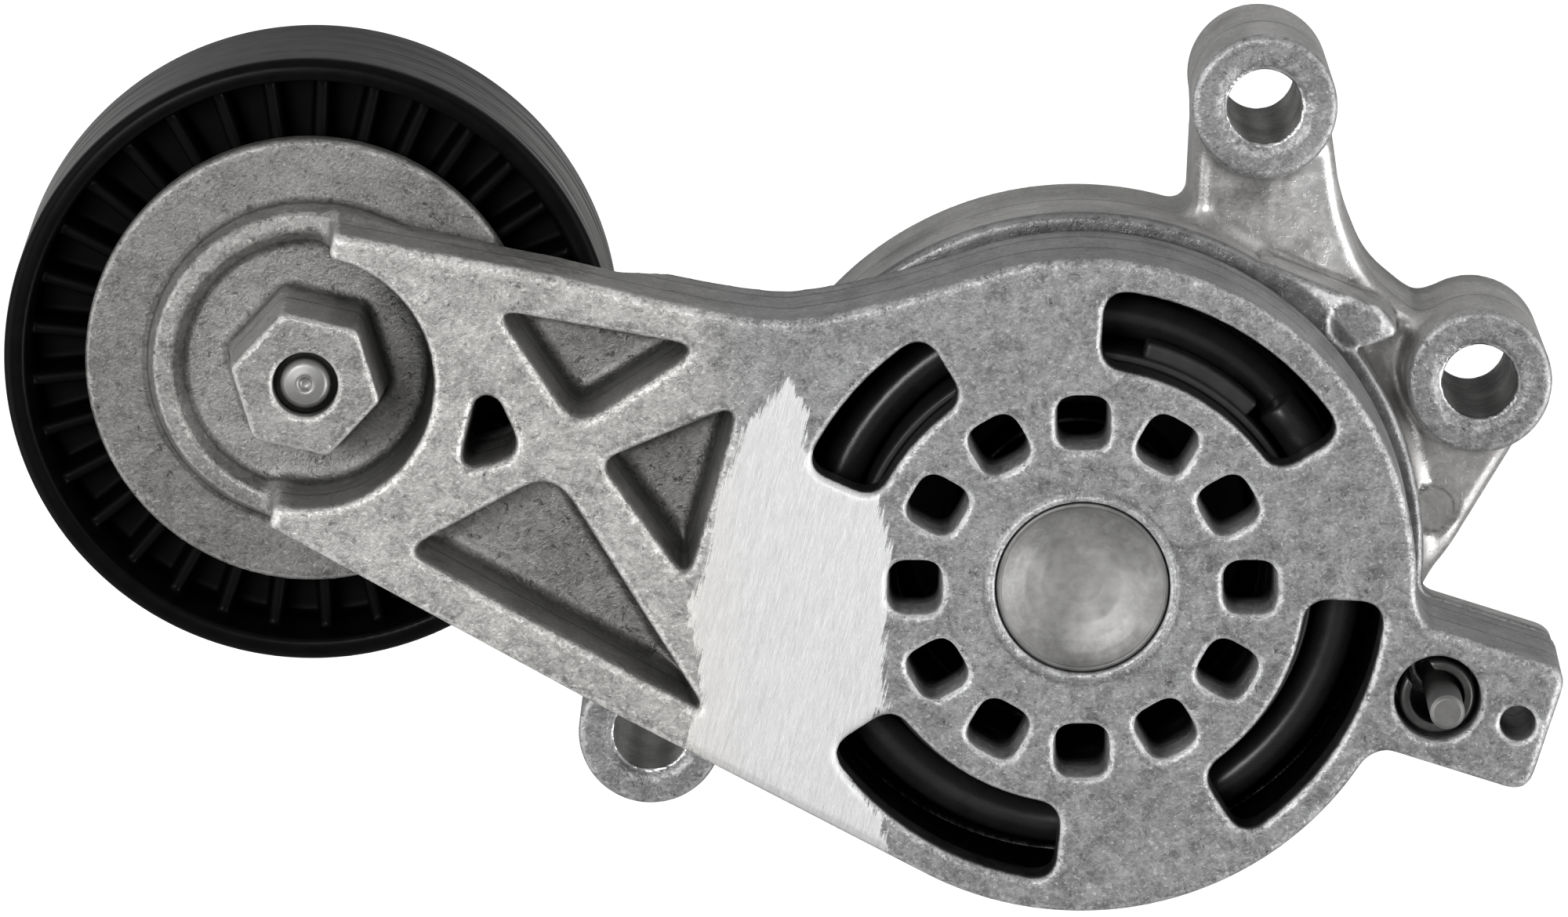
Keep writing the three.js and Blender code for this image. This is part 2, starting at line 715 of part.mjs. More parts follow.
const FINISHES = {
  base_housing: MATERIALS.castAluminium,
  pivot_bushing: MATERIALS.bushPolymer,
  thrust_washer: MATERIALS.bushPolymer,
  damper_sleeve: MATERIALS.blackNylon,
  spring_seat: MATERIALS.blackNylon,
  dust_seal: MATERIALS.sealRubber,
  torsion_spring: MATERIALS.springSteel,
  tensioner_arm: MATERIALS.castAluminium,
  pivot_pin: MATERIALS.bearingSteel,
  retaining_washer: MATERIALS.darkSteel,
  spring_pin: MATERIALS.darkSteel,
  lock_pin: MATERIALS.darkSteel,
  pulley_bolt: MATERIALS.bearingSteel,
  bearing_spacer: MATERIALS.bearingSteel,
  rear_dust_shield: MATERIALS.darkSteel,
  pulley: MATERIALS.blackNylon,
  bearing_inner_ring: MATERIALS.bearingSteel,
  bearing_outer_ring: MATERIALS.bearingSteel,
  bearing_seal_front: MATERIALS.sealRubber,
  bearing_seal_rear: MATERIALS.sealRubber,
  bearing_cage: MATERIALS.cagePolymer,
};

const tensioner = new THREE.Group();
tensioner.add(...assembly({
  base_housing: baseHousing(),
  ...pivotParts(),
  torsion_spring: torsionSpring(),
  tensioner_arm: tensionerArm(),
  pivot_pin: pivotPin(),
  spring_pin: springPin(),
  lock_pin: lockPin(),
  ...pulleyHardware(),
  pulley: pulley(),
  ...bearingRings(),
  bearing_cage: bearingCage(),
}, FINISHES));
for (let i = 0; i < BEARING.balls; i++) {
  tensioner.add(piece(`bearing_ball_${i + 1}`, ball(BEARING.ballR, i), MATERIALS.bearingSteel));
}

export default tensioner;
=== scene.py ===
"""The looks of the belt tensioner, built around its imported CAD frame.

Lengths are in millimetres up to the point where a mesh is made, which is in metres.
The castings are distance fields joined with rounded seams and then meshed, the
turned parts are filleted profiles spun about their axes.
"""

import math

import bpy
import numpy as np
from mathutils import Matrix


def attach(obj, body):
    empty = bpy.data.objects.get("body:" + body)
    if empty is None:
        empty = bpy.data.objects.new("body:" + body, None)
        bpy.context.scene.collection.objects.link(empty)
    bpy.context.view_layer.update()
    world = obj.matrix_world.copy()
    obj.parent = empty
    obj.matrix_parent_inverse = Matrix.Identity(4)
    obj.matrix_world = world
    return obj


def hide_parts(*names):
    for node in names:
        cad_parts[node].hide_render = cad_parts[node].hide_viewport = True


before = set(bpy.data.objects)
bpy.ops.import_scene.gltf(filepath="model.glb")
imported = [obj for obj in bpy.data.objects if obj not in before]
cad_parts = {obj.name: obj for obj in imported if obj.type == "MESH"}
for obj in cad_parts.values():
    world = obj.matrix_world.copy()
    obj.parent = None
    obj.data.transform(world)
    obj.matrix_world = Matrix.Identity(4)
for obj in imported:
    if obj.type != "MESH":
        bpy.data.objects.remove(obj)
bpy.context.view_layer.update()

import openvdb
from mathutils import Euler, Vector

MM = 0.001
CASTING_STEP = 0.42  # grids of the distance fields
PULLEY_STEP = 0.38
BOLT_STEP = 0.21
SLEEVE_STEP = 0.2
SPRING_PIN_STEP = 0.14
FAR = 50.0  # a distance outside every part
ON_AXIS = 1e-6  # a radius this small counts as none

# ---------------- dimensions

PIVOT_AT = (0.0, 0.0)
PULLEY_AT = (-88.06, 23.65)

# The arm.
FACE_Z = 43.5
CEILING_Z = 38.5
ARM_FOOT_Z = 26.5
DISC_R = 37.95
HOLLOW_R = 34.5
HUB_R = 13.0
FRICTION_RING = (21.2, 23.4)
WINDOW_COUNT, WINDOW_AT, WINDOW_HALF, WINDOW_CORNER = 12, 19.05, 3.2, 2.4
SLOT = (25.4, 34.5)
SLOT_ANGLES = ((121.5, 156.5), (31, 86), (-58, -3), (-147, -95))
POCKET_FLOOR_Z = 32.7
WELL_R = 14.6
WRENCH_CORNER_R, WRENCH_TOP_Z, WRENCH_TURN = 8.66, 44.3, 107

# The tab, shared by the arm and the base. Places are distances along it from the pivot.
TAB_ANGLE = -17.7
TAB_HALF, TAB_END = 7.5, 55.7
SPRING_PIN_ALONG, LOCK_PIN_ALONG, SMALL_HOLE_ALONG = 42.5, 43.3, 52.1
SPRING_HOLE_R, SMALL_HOLE_R, BASE_HOLE_R = 4.91, 2.02, 2.4

# The base.
BASE_R = 39.9
CUP_FLOOR_Z = 6.0
WEB_Z = 17.0
TAB_BACK_Z = 20.2
BOSS_R, BOSS_Z, BORE_R = 8.35, 24.1, 4.3
RIM_Z = 25.0
BOSSES = ((21.05, 51.94), (46.0, 19.9), (-49.3, -21.5))
EJECTOR_AT, EJECTOR_R = (31.6, 26.9), 3.0
BACK_RIBS = 8
UNDER, OVER = -3.0, 28.0  # tools that cut right through the base run from one to the other

# The pulley and its bolt.
BELT_R, BELT_LOW_Z, BELT_HIGH_Z = 35.0, 6.0, 30.6
RIBS, RIB_BACK_Z, RIB_FRONT_Z = 33, 9.5, 26.2
BOLT_CORNER_R = 6.5 * 2 / math.sqrt(3)  # 13 mm across its flats

# The spring.
COIL_R, COIL_FROM_Z, COIL_RISE, COIL_FIRST_ANGLE, WIRE_R = 29.6, 10.6, 25, 42, 2.48


def polar(r, degrees, at=PIVOT_AT):
    """The point at r from a centre, in a direction in degrees."""
    a = math.radians(degrees)
    return (at[0] + r * math.cos(a), at[1] + r * math.sin(a))


def on_tab(along, across=0.0):
    """A point by its distances along and across the tab."""
    x, y = polar(along, TAB_ANGLE)
    dx, dy = polar(across, TAB_ANGLE + 90)
    return (x + dx, y + dy)


# ---------------- flat outlines


def inside_sign(points, X, Y):
    """-1 within a closed outline and 1 around it."""
    inside = np.zeros(np.broadcast(X, Y).shape, bool)
    ax, ay = points[-1]
    for bx, by in points:
        crosses = (Y >= ay) != (Y >= by)
        if by != ay:
            inside ^= crosses & (X < (bx - ax) * (Y - ay) / (by - ay) + ax)
        ax, ay = bx, by
    return np.where(inside, -1.0, 1.0)


def outline_distance(points, X, Y):
    """Signed distance to a closed outline, negative inside."""
    best = np.full(np.broadcast(X, Y).shape, 1e9)
    ax, ay = points[-1]
    for bx, by in points:
        ex, ey = bx - ax, by - ay
        length = ex * ex + ey * ey
        if length > 1e-12:
            wx, wy = X - ax, Y - ay
            t = np.clip((wx * ex + wy * ey) / length, 0, 1)
            np.minimum(best, (wx - t * ex) ** 2 + (wy - t * ey) ** 2, out=best)
        ax, ay = bx, by
    return np.sqrt(best) * inside_sign(points, X, Y)


class Outline:
    """A closed outline in X and Y, or a circle, with its box."""

    def __init__(self, points=None, centre=None, r=None):
        self.points, self.centre, self.r = points, centre, r
        if points is None:
            x, y = centre
            self.box = (x - r, y - r, x + r, y + r)
        else:
            xs, ys = zip(*points)
            self.box = (min(xs), min(ys), max(xs), max(ys))

    def distance(self, X, Y):
        if self.points is None:
            return np.hypot(X - self.centre[0], Y - self.centre[1]) - self.r
        return outline_distance(self.points, X, Y)


def circle(at, r):
    return Outline(centre=at, r=r)


def hexagon(at, r, first, corner):
    """A hexagon of corner radius r, with a corner in the direction first, in degrees."""
    return rounded([(*polar(r, first + 60 * k, at), corner) for k in range(6)])


def curve_to(a, b, c, steps=6):
    """Points of a quadratic curve from a past b to c, a left out."""
    out = []
    for i in range(1, steps + 1):
        t = i / steps
        start, middle, end = (1 - t) ** 2, 2 * t * (1 - t), t * t
        out.append(tuple(start * p + middle * q + end * s for p, q, s in zip(a, b, c)))
    return out


def rounded(points):
    """An outline whose corners are rounded: each point is (x, y, corner size)."""
    out = []
    count = len(points)
    for i, p in enumerate(points):
        here = np.array(p[:2], float)
        size = p[2] if len(p) > 2 else 0
        if not size:
            out.append(tuple(here))
            continue
        before = np.array(points[i - 1][:2], float) - here
        after = np.array(points[(i + 1) % count][:2], float) - here
        a = here + before / np.linalg.norm(before) * size
        c = here + after / np.linalg.norm(after) * size
        out.append(tuple(a))
        out.extend(curve_to(a, here, c))
    return Outline(out)


def arc(r, a0, a1, steps=None):
    """Points of an arc about the pivot, one to every 4 degrees if steps aren't given."""
    steps = steps or max(2, int(abs(a1 - a0) / 4))
    return [polar(r, a0 + (a1 - a0) * i / steps) for i in range(steps + 1)]


def arc_slot(r_in, r_out, a0, a1, corner):
    """A slot about the pivot from angle a0 to a1, its four corners rounded."""
    turn_in, turn_out = math.degrees(corner / r_in), math.degrees(corner / r_out)
    p = arc(r_out, a0 + turn_out, a1 - turn_out)
    p += curve_to(p[-1], polar(r_out, a1), polar(r_out - corner, a1))
    p.append(polar(r_in + corner, a1))
    p += curve_to(p[-1], polar(r_in, a1), polar(r_in, a1 - turn_in))
    p += arc(r_in, a1 - turn_in, a0 + turn_in)[1:]
    p += curve_to(p[-1], polar(r_in, a0), polar(r_in + corner, a0))
    p.append(polar(r_out - corner, a0))
    p += curve_to(p[-1], polar(r_out, a0), polar(r_out, a0 + turn_out))
    return Outline(p)


# ---------------- distance fields


def round_and(a, b, r):
    """Where both fields are inside, with the seam rounded to radius r."""
    if r <= 0:
        return np.maximum(a, b)
    u, v = np.maximum(a + r, 0), np.maximum(b + r, 0)
    return np.minimum(np.maximum(a, b), -r) + np.sqrt(u * u + v * v)


class Field:
    """Signed distances on a grid, negative inside the part."""

    def __init__(self, low, high, step):
        self.low, self.step = np.array(low, float), step
        self.axes = [np.arange(a, b + step, step, dtype=np.float32) for a, b in zip(low, high)]
        self.d = np.full([len(a) for a in self.axes], FAR, np.float32)

    def _window(self, box, margin):
        """The slices of the grid within margin of a box."""
        lows, highs = box[:3], box[3:]
        out = []
        for axis, low, high in zip(self.axes, lows, highs):
            i = np.searchsorted(axis, low - margin)
            j = np.searchsorted(axis, high + margin)
            out.append(slice(int(i), int(max(j, i))))
        return tuple(out)

    def _extruded(self, outline, z0, z1, edges, draft, margin):
        """An outline from z0 to z1. It widens downwards by draft, and edges are the radii
        of its foot and its top."""
        x0, y0, x1, y1 = outline.box
        grow = margin + max(draft, 0) * (z1 - z0)
        where = self._window((x0 - grow, y0 - grow, z0, x1 + grow, y1 + grow, z1), margin)
        X = self.axes[0][where[0]][:, None]
        Y = self.axes[1][where[1]][None, :]
        z = self.axes[2][where[2]][None, None, :]
        side = outline.distance(X, Y).astype(np.float32)[:, :, None] - draft * (z1 - z)
        tool = round_and(side, z - z1, edges[1])
        return where, round_and(tool, z0 - z, edges[0])

    def _spun(self, profile, at, margin):
        """A closed profile of (r, z) turned about a vertical axis."""
        reach = max(r for r, _ in profile)
        zs = [z for _, z in profile]
        box = (at[0] - reach, at[1] - reach, min(zs), at[0] + reach, at[1] + reach, max(zs))
        where = self._window(box, margin)
        X = self.axes[0][where[0]][:, None]
        Y = self.axes[1][where[1]][None, :]
        z = self.axes[2][where[2]]
        closed = [(r if r > 0 else -5.0, h) for r, h in profile]
        radii = np.arange(0, (reach + margin) * 1.45 + 0.1, 0.1)
        table = outline_distance(closed, radii[:, None], z[None, :])
        rho = np.hypot(X - at[0], Y - at[1])
        flat = rho.ravel()
        layers = [np.interp(flat, radii, table[:, k]) for k in range(len(z))]
        return where, np.stack(layers, -1).reshape(*rho.shape, len(z)).astype(np.float32)

    def _join(self, where, tool, blend):
        self.d[where] = -round_and(-self.d[where], -tool, blend)

    def _cut(self, where, tool, blend):
        self.d[where] = round_and(self.d[where], -tool, blend)

    def add(self, outline, z0, z1, edges=(0.4, 0.8), draft=0.0, blend=1.0):
        margin = blend + 3 * self.step
        self._join(*self._extruded(outline, z0, z1, edges, draft, margin), blend)

    def cut(self, outline, z0, z1, floor=0.0, edge=0.6, draft=0.0, top=0.0):
        """floor rounds the tool's foot, top its upper end and edge the seam that it leaves."""
        margin = edge + 3 * self.step
        self._cut(*self._extruded(outline, z0, z1, (floor, top), draft, margin), edge)

    def trim(self, low, high, edge_low, edge_high):
        """Planes off everything below low and above high."""
        z = self.axes[2][None, None, :]
        self.d = round_and(self.d, np.broadcast_to(low - z, self.d.shape), edge_low)
        self.d = round_and(self.d, np.broadcast_to(z - high, self.d.shape), edge_high)

    def add_spun(self, profile, at, blend):
        self._join(*self._spun(profile, at, blend + 3 * self.step), blend)

    def cut_spun(self, profile, at, edge):
        self._cut(*self._spun(profile, at, edge + 3 * self.step), edge)

    def keep_spun(self, profile, at, edge, margin):
        """Takes away what stands out of the spun profile, within its window."""
        where, tool = self._spun(profile, at, margin)
        self.d[where] = round_and(self.d[where], tool, edge)

    def sample(self, array, p):
        """Linear interpolation at grid coordinates p."""
        top = np.array(array.shape) - 2
        i = np.clip(np.floor(p).astype(np.int64), 0, top)
        f = (p - i).astype(np.float32)
        out = np.zeros(len(p), np.float32)
        for corner in range(8):
            bit = np.array([corner >> 2 & 1, corner >> 1 & 1, corner & 1])
            w = np.where(bit, f, 1 - f).prod(1)
            out += w * array[tuple((i + bit).T)]
        return out

    def mesh(self, name, paint=None):
        """The surface, with exact normals, a layer of how sharp each edge is, and the
        layers that paint works out from each point's place and upward slope."""
        band = 4 * self.step
        grid = openvdb.FloatGrid(band)
        grid.copyFromArray(np.clip(self.d, -band, band))
        p, tris, quads = grid.convertToPolygons(isovalue=0.0, adaptivity=0.0)
        centre = self.sample(self.d, p)
        slope, bend = [], -6 * centre
        for axis in range(3):
            cell = np.zeros(3)
            cell[axis] = 1.0
            ahead, behind = self.sample(self.d, p + cell), self.sample(self.d, p - cell)
            slope.append(ahead - behind)
            bend = bend + ahead + behind
        normals = np.stack(slope, 1)
        normals /= np.maximum(np.linalg.norm(normals, axis=1), 1e-9)[:, None]
        bend /= self.step ** 2
        points = p * self.step + self.low
        layers = {"bend": bend}
        if paint:
            layers.update(paint(*points.T, normals[:, 2]))
        return make_mesh(name, points * MM, quads, tris, normals, layers)


# ---------------- meshes


def placed(name, data):
    """A new object in the scene."""
    made = bpy.data.objects.new(name, data)
    bpy.context.scene.collection.objects.link(made)
    return made


def make_mesh(name, points, quads, tris, normals=None, layers=None):
    """A smooth-shaded object, in metres. Given normals, its faces are turned to suit them."""
    quads = np.asarray(quads, np.int64).reshape(-1, 4)
    tris = np.asarray(tris, np.int64).reshape(-1, 3)
    points = np.asarray(points, np.float64)
    if normals is not None and len(quads):
        a, b, c = (points[quads[:, k]] for k in (0, 1, 2))
        facing = (np.cross(b - a, c - a) * normals[quads[:, 0]]).sum(1)
        if (facing < 0).mean() > 0.5:
            quads, tris = quads[:, ::-1], tris[:, ::-1]
    mesh = bpy.data.meshes.new(name)
    mesh.vertices.add(len(points))
    mesh.vertices.foreach_set("co", points.ravel())
    loops = np.concatenate([quads.ravel(), tris.ravel()]).astype(np.int32)
    mesh.loops.add(len(loops))
    mesh.loops.foreach_set("vertex_index", loops)
    quad_starts, tri_starts = 4 * np.arange(len(quads)), 3 * np.arange(len(tris))
    starts = np.concatenate([quad_starts, 4 * len(quads) + tri_starts])
    mesh.polygons.add(len(starts))
    mesh.polygons.foreach_set("loop_start", starts.astype(np.int32))
    mesh.polygons.foreach_set("use_smooth", np.ones(len(starts), bool))
    mesh.update(calc_edges=True)
    for key, values in (layers or {}).items():
        layer = mesh.attributes.new(key, "FLOAT", "POINT")
        layer.data.foreach_set("value", np.asarray(values, np.float32))
    if normals is not None:
        mesh.normals_split_custom_set_from_vertices(np.asarray(normals, np.float32).tolist())
    return placed(name, mesh)


def filleted(profile, r, steps=4):
    """(point, normal) along a closed profile of (r, z), its corners rounded.

    The profile runs with the material on its left. A corner on the axis stays, and a
    third number in a point is that corner's own size."""
    out = []
    count = len(profile)
    for i, point in enumerate(profile):
        p = np.array(point[:2], float)
        size = point[2] if len(point) > 2 else r
        a = np.array(profile[i - 1][:2], float) - p
        b = np.array(profile[(i + 1) % count][:2], float) - p
        la, lb = np.linalg.norm(a), np.linalg.norm(b)
        a, b = a / la, b / lb
        if p[0] <= ON_AXIS:
            n_in, n_out = np.array([-a[1], a[0]]), np.array([b[1], -b[0]])
            out.append((p, n_in if abs(a[0]) > ON_AXIS else n_out))
            continue
        half = math.acos(float(np.clip(a @ b, -1, 1))) / 2
        reach = min(size / math.tan(half), 0.45 * la, 0.45 * lb)
        size = reach * math.tan(half)
        middle = (a + b) / max(np.linalg.norm(a + b), 1e-9)
        centre = p + middle * (size / math.sin(half))
        sign = 1 if a[0] * b[1] - a[1] * b[0] < 0 else -1
        start, end = p + a * reach - centre, p + b * reach - centre
        a0, a1 = math.atan2(start[1], start[0]), math.atan2(end[1], end[0])
        turn = (a1 - a0 + math.pi) % (2 * math.pi) - math.pi
        for k in range(steps + 1):
            t = a0 + turn * k / steps
            n = np.array([math.cos(t), math.sin(t)])
            out.append((centre + n * size, n * sign))
    return out


def smooth_profile(profile, r):
    """The profile with its corners rounded, for a distance field."""
    return [tuple(p) for p, _ in filleted(profile, r)]


def spun(name, profile, at, r, sides):
    """A turned solid: a closed profile of (r, z, corner size) about a vertical axis."""
    ends = zip(profile, profile[1:] + profile[:1])
    if sum(p[0] * q[1] - q[0] * p[1] for p, q in ends) < 0:
        profile = profile[::-1]
    points, normals, rings = [], [], []
    for p, n in filleted(profile, r):
        start = len(points)
        if p[0] <= ON_AXIS:
            rings.append([start])
            points.append((at[0], at[1], p[1]))
            normals.append((0, 0, math.copysign(1, n[1])))
            continue
        for k in range(sides):
            t = 2 * math.pi * k / sides
            c, s = math.cos(t), math.sin(t)
            points.append((at[0] + p[0] * c, at[1] + p[0] * s, p[1]))
            normals.append((n[0] * c, n[0] * s, n[1]))
        rings.append(list(range(start, start + sides)))
    quads, tris = [], []
    for a, b in zip(rings, rings[1:] + rings[:1]):
        if len(a) == 1 and len(b) == 1:
            continue
        for k in range(sides):
            m = (k + 1) % sides
            if len(a) == 1:
                tris.append((a[0], b[m], b[k]))
            elif len(b) == 1:
                tris.append((a[k], a[m], b[0]))
            else:
                quads.append((a[k], a[m], b[m], b[k]))
    return make_mesh(name, np.array(points) * MM, quads, tris, np.array(normals))


def swept(name, centres, radii, around):
    """A round wire along a line of points, with a cap at each end."""
    along = np.gradient(centres, axis=0)
    along /= np.linalg.norm(along, axis=1)[:, None]
    side = np.cross(along, (0.0, 0.0, 1.0))
    side /= np.linalg.norm(side, axis=1)[:, None]
    over = np.cross(side, along)
    angles = 2 * np.pi * np.arange(around) / around
    across, above = np.cos(angles)[None, :, None], np.sin(angles)[None, :, None]
    section = side[:, None] * across + over[:, None] * above
    rings = centres[:, None] + radii[:, None, None] * section
    points = np.vstack([rings.reshape(-1, 3), centres[0], centres[-1]])
    first, last = len(points) - 2, len(points) - 1
    end = (len(centres) - 1) * around
    quads, tris = [], []
    for k in range(around):
        m = (k + 1) % around
        tris += [(k, m, first), (end + m, end + k, last)]
        for i in range(0, end, around):
            quads.append((i + around + k, i + around + m, i + m, i + k))
    return make_mesh(name, points * MM, quads, tris)


# ---------------- castings


POCKETS = [
    [(-66.9, 32.3, 3.2), (-42.6, 27.9, 4.2), (-57.6, 18.3, 3.6)],
    [(-55.2, 14.6, 2.6), (-38.8, 21.5, 3.4), (-44.8, 0.2, 3.6)],
    [(-77.4, 4.2, 3.4), (-60, 13.7, 4.4), (-42, -15.4, 4)]]
BEAM_HOLE = [(-71.1, 13.2, 3.2), (-68.9, 22.3, 1.6), (-66.3, 22.3, 1.6), (-63.2, 15.3, 3.2)]

# The border of the face that is ground bright, before it is made ragged.
MILLED = [
    (-33.5, 24), (-38.5, 18.5), (-40, 14), (-41.5, 8), (-43, 1), (-44.5, -2), (-44, -6),
    (-43, -12), (-44, -15), (-45, -18.6), (-38, -24), (-22, -32.5), (-22.6, -27),
    (-26, -22.5), (-24.5, -17), (-22.5, -13.6), (-22.8, -6), (-21.6, 2), (-23.3, 10.6),
    (-27, 14), (-31.5, 16), (-31, 20.5)]


def arm_outline():
    """The disc and the beam: straight below, and swept up to the disc above."""
    points = [(-92.3, 7.0), (-55.0, -13.8)] + arc(DISC_R, -118.6, 108, steps=90)
    points += curve_to(points[-1], (-24.0, 31.9), (-33.0, 30.9))
    points += curve_to((-33.0, 30.9), (-39.0, 30.6), (-60.0, 36.0))
    points.append((-84.7, 40.8))
    return Outline(points)


def tab_outline():
    """The tab, from its end to where it is inside the disc."""
    corners = [
        (30, -TAB_HALF - 2, 0), (36.4, -TAB_HALF, 2), (TAB_END, -TAB_HALF, 2.6),
        (TAB_END, TAB_HALF, 2.6), (DISC_R, TAB_HALF, 2), (30, TAB_HALF + 4, 0)]
    return rounded([(*on_tab(along, across), size) for along, across, size in corners])


def window_outline(degrees):
    """The square window of the cover that lies in a direction from the pivot."""
    turn = math.radians(degrees)
    c, s = math.cos(turn), math.sin(turn)
    corners = []
    for u, v in ((-1, -1), (1, -1), (1, 1), (-1, 1)):
        x, y = WINDOW_AT + WINDOW_HALF * u, WINDOW_HALF * v
        corners.append((x * c - y * s, x * s + y * c, WINDOW_CORNER))
    return rounded(corners)


def ramp(value, low, high):
    """A smooth step from 0 at low to 1 at high."""
    t = np.clip((value - low) / (high - low), 0, 1)
    return t * t * (3 - 2 * t)


def arm_paint(x, y, z, up):
    """Lighter along the beam and a little darker on the pulley's flange. Painted shade makes it
    darker down the walls, slots and pockets, in the pulley's well, low on the outer wall and near
    black under the cover, and painted light brightens the window walls.
    """
    r = np.hypot(x, y)
    wall = 1 - ramp(np.abs(up), 0.35, 0.8)
    slot = ramp(r, 24.7, 25.2) * (1 - ramp(r, 34.9, 35.4)) * (1 - ramp(z, 42.4, 43.3))
    from_pulley = np.hypot(x - PULLEY_AT[0], y - PULLEY_AT[1])
    toward = (x - PULLEY_AT[0]) / np.maximum(from_pulley, 1e-6)
    flange = ramp(from_pulley, 16.8, 17.8) * ramp(-from_pulley, -26.5, -25.9) * ramp(-z, -34, -33)
    beam_top = ramp(-x, 38, 46) * ramp(z, 41.6, 42.6) * ramp(from_pulley, 13.5, 14.5)
    well = ramp(from_pulley, 9, 12.5) * (1 - ramp(from_pulley, 15, 15.4)) * (1 - ramp(z, 42.3, 43.2))
    inner = ramp(-arm_outline().distance(x, y), 1.2, 2.2)
    tone = 0.39 + 0.17 * beam_top - 0.1 * flange
    # Painted shade: walls, slot sides and the walls within the outline are darkened.
    tone = tone * (1 - 0.1 * wall) * (1 - 0.6 * slot) * (1 - 0.3 * wall * inner)
    # Painted shadow in the pulley's well, on its side towards the pivot.
    tone = tone * (1 - 0.6 * well * ramp(toward, 0.35, 0.95))
    # Painted light: the walls of the windows are made lighter.
    window = wall * ramp(r, 14, 14.6) * (1 - ramp(r, 23.4, 24))
    tone = tone * (1 + 1.1 * window)
    # Painted shade low on the outer wall, near the foot of the arm.
    tone = tone * (1 - 0.45 * wall * (1 - ramp(z, 27.2, 28.2)) * (1 - inner))
    # Painted shade: the hollow under the cover is near black, with a little painted light high on the
    # window walls.
    hollow = (r < 35.5) & (z < 38.8)
    tone = np.where(hollow, 0.02 + 0.3 * window * ramp(z, 35.0, 38.8), tone)
    return {
        "tone": tone, "wall": wall * (1 - slot), "gloss": 0.2 * wall, "warm": ramp(-x, 34, 46),
        "patch": -outline_distance(MILLED, x, y)}


def arm_casting():
    f = Field((-116.0, -40.5, 11.4), (58.0, 51.8, 45.9), CASTING_STEP)
    f.add(arm_outline(), 22.0, FACE_Z + 3, (0, 0), 0.012)
    f.add(tab_outline(), 22.0, FACE_Z + 3, (0, 0), 0.012, 2.5)
    f.trim(ARM_FOOT_Z, FACE_Z, 0.5, 1.0)
    # The recess over the pulley, and in it the well, the flange and the wrench hexagon.
    recess = [(0, 24), (44, 24), (36.6, 31.4), (0, 31.4)]
    f.cut_spun(recess, PULLEY_AT, 0.8)
    f.cut(circle(PULLEY_AT, WELL_R), 25.0, FACE_Z + 2, edge=0.8, draft=-0.03)
    flange = [
        (0, 24.6), (10.6, 24.6), (10.6, 27), (25.7, 27), (25.7, 30.3),
        (18.6, 30.5), (17.7, 33.2), (15.7, 33.5), (14.2, 31.7), (0, 31.7)]
    f.add_spun(smooth_profile(flange, 0.6), PULLEY_AT, 2.0)
    wrench = hexagon(PULLEY_AT, WRENCH_CORNER_R, WRENCH_TURN, 0.5)
    f.add(wrench, 30.0, WRENCH_TOP_Z, (0.0, 0.5), 0.06, 0.9)
    # Hollow under the cover, with the hub and the friction ring left standing.
    f.cut(circle(PIVOT_AT, HOLLOW_R), 20.0, CEILING_Z, edge=0.5, top=1.5, draft=0.01)
    f.add(circle(PIVOT_AT, HUB_R), 12.6, 40.0, (0.6, 0.0), 0.0, 1.5)
    inner, outer = FRICTION_RING
    ring = [(inner, 22.5), (outer, 22.5), (outer, 40), (inner, 40)]
    f.add_spun(smooth_profile(ring, 0.4), PIVOT_AT, 1.0)
    # The cover is thicker round the windows.
    f.add_spun([(12, 35.4), (22, 35.4), (22, 40), (12, 40)], PIVOT_AT, 0.8)
    for points in POCKETS:
        f.cut(rounded(points), POCKET_FLOOR_Z, FACE_Z + 1, floor=1.4, edge=0.9, draft=-0.09)
    f.cut(rounded(BEAM_HOLE), 24.0, FACE_Z + 1, edge=0.9, draft=-0.05)
    for k in range(WINDOW_COUNT):
        window = window_outline(360 / WINDOW_COUNT * k)
        f.cut(window, 33.0, FACE_Z + 0.5, edge=0.55, draft=-0.06)
    for a0, a1 in SLOT_ANGLES:
        f.cut(arc_slot(*SLOT, a0, a1, 3.0), 36.0, FACE_Z + 0.5, edge=0.7, draft=-0.03)
    # The bore of the hub, and the raised lip round the head of the pivot pin.
    f.cut(circle(PIVOT_AT, 9.3), 11.0, 40.0, edge=0.3)
    f.add_spun([(9, 43), (11, 43), (10.6, 43.75), (9, 43.75)], PIVOT_AT, 0.5)
    f.cut(circle(PIVOT_AT, 9.95), 38.0, FACE_Z + 1, edge=0.35)
    # The bore of the bolt, and the two holes of the tab.
    f.cut(circle(PULLEY_AT, 3.7), 36.0, 46.0, edge=0.35)
    f.cut(circle(PULLEY_AT, 4.15), 15.0, 41.7, edge=0.2)
    f.cut(circle(on_tab(SPRING_PIN_ALONG), SPRING_HOLE_R), 24.0, FACE_Z + 1, edge=0.45)
    f.cut(circle(on_tab(SMALL_HOLE_ALONG), SMALL_HOLE_R), 24.0, FACE_Z + 1, edge=0.4)
    return f.mesh("arm_casting", arm_paint)


LUG = rounded([(21, 33.8, 1), (35.2, 28.1, 1.5), (36.8, 25.4, 1.5), (31.6, 24, 1)])
WEBS = [
    rounded([
        (12.8, 30), (13.7, 51, 5), (28.6, 51, 5), (30.4, 38, 3), (33.3, 30.7, 3),
        (38.7, 26.2, 2), (46, 24), (53.4, 16), (43, -1.5, 2), (36, -10)]),
    rounded([(-54, -14.4), (-47.5, -29.6), (-30, -21.8), (-34, -6)])]


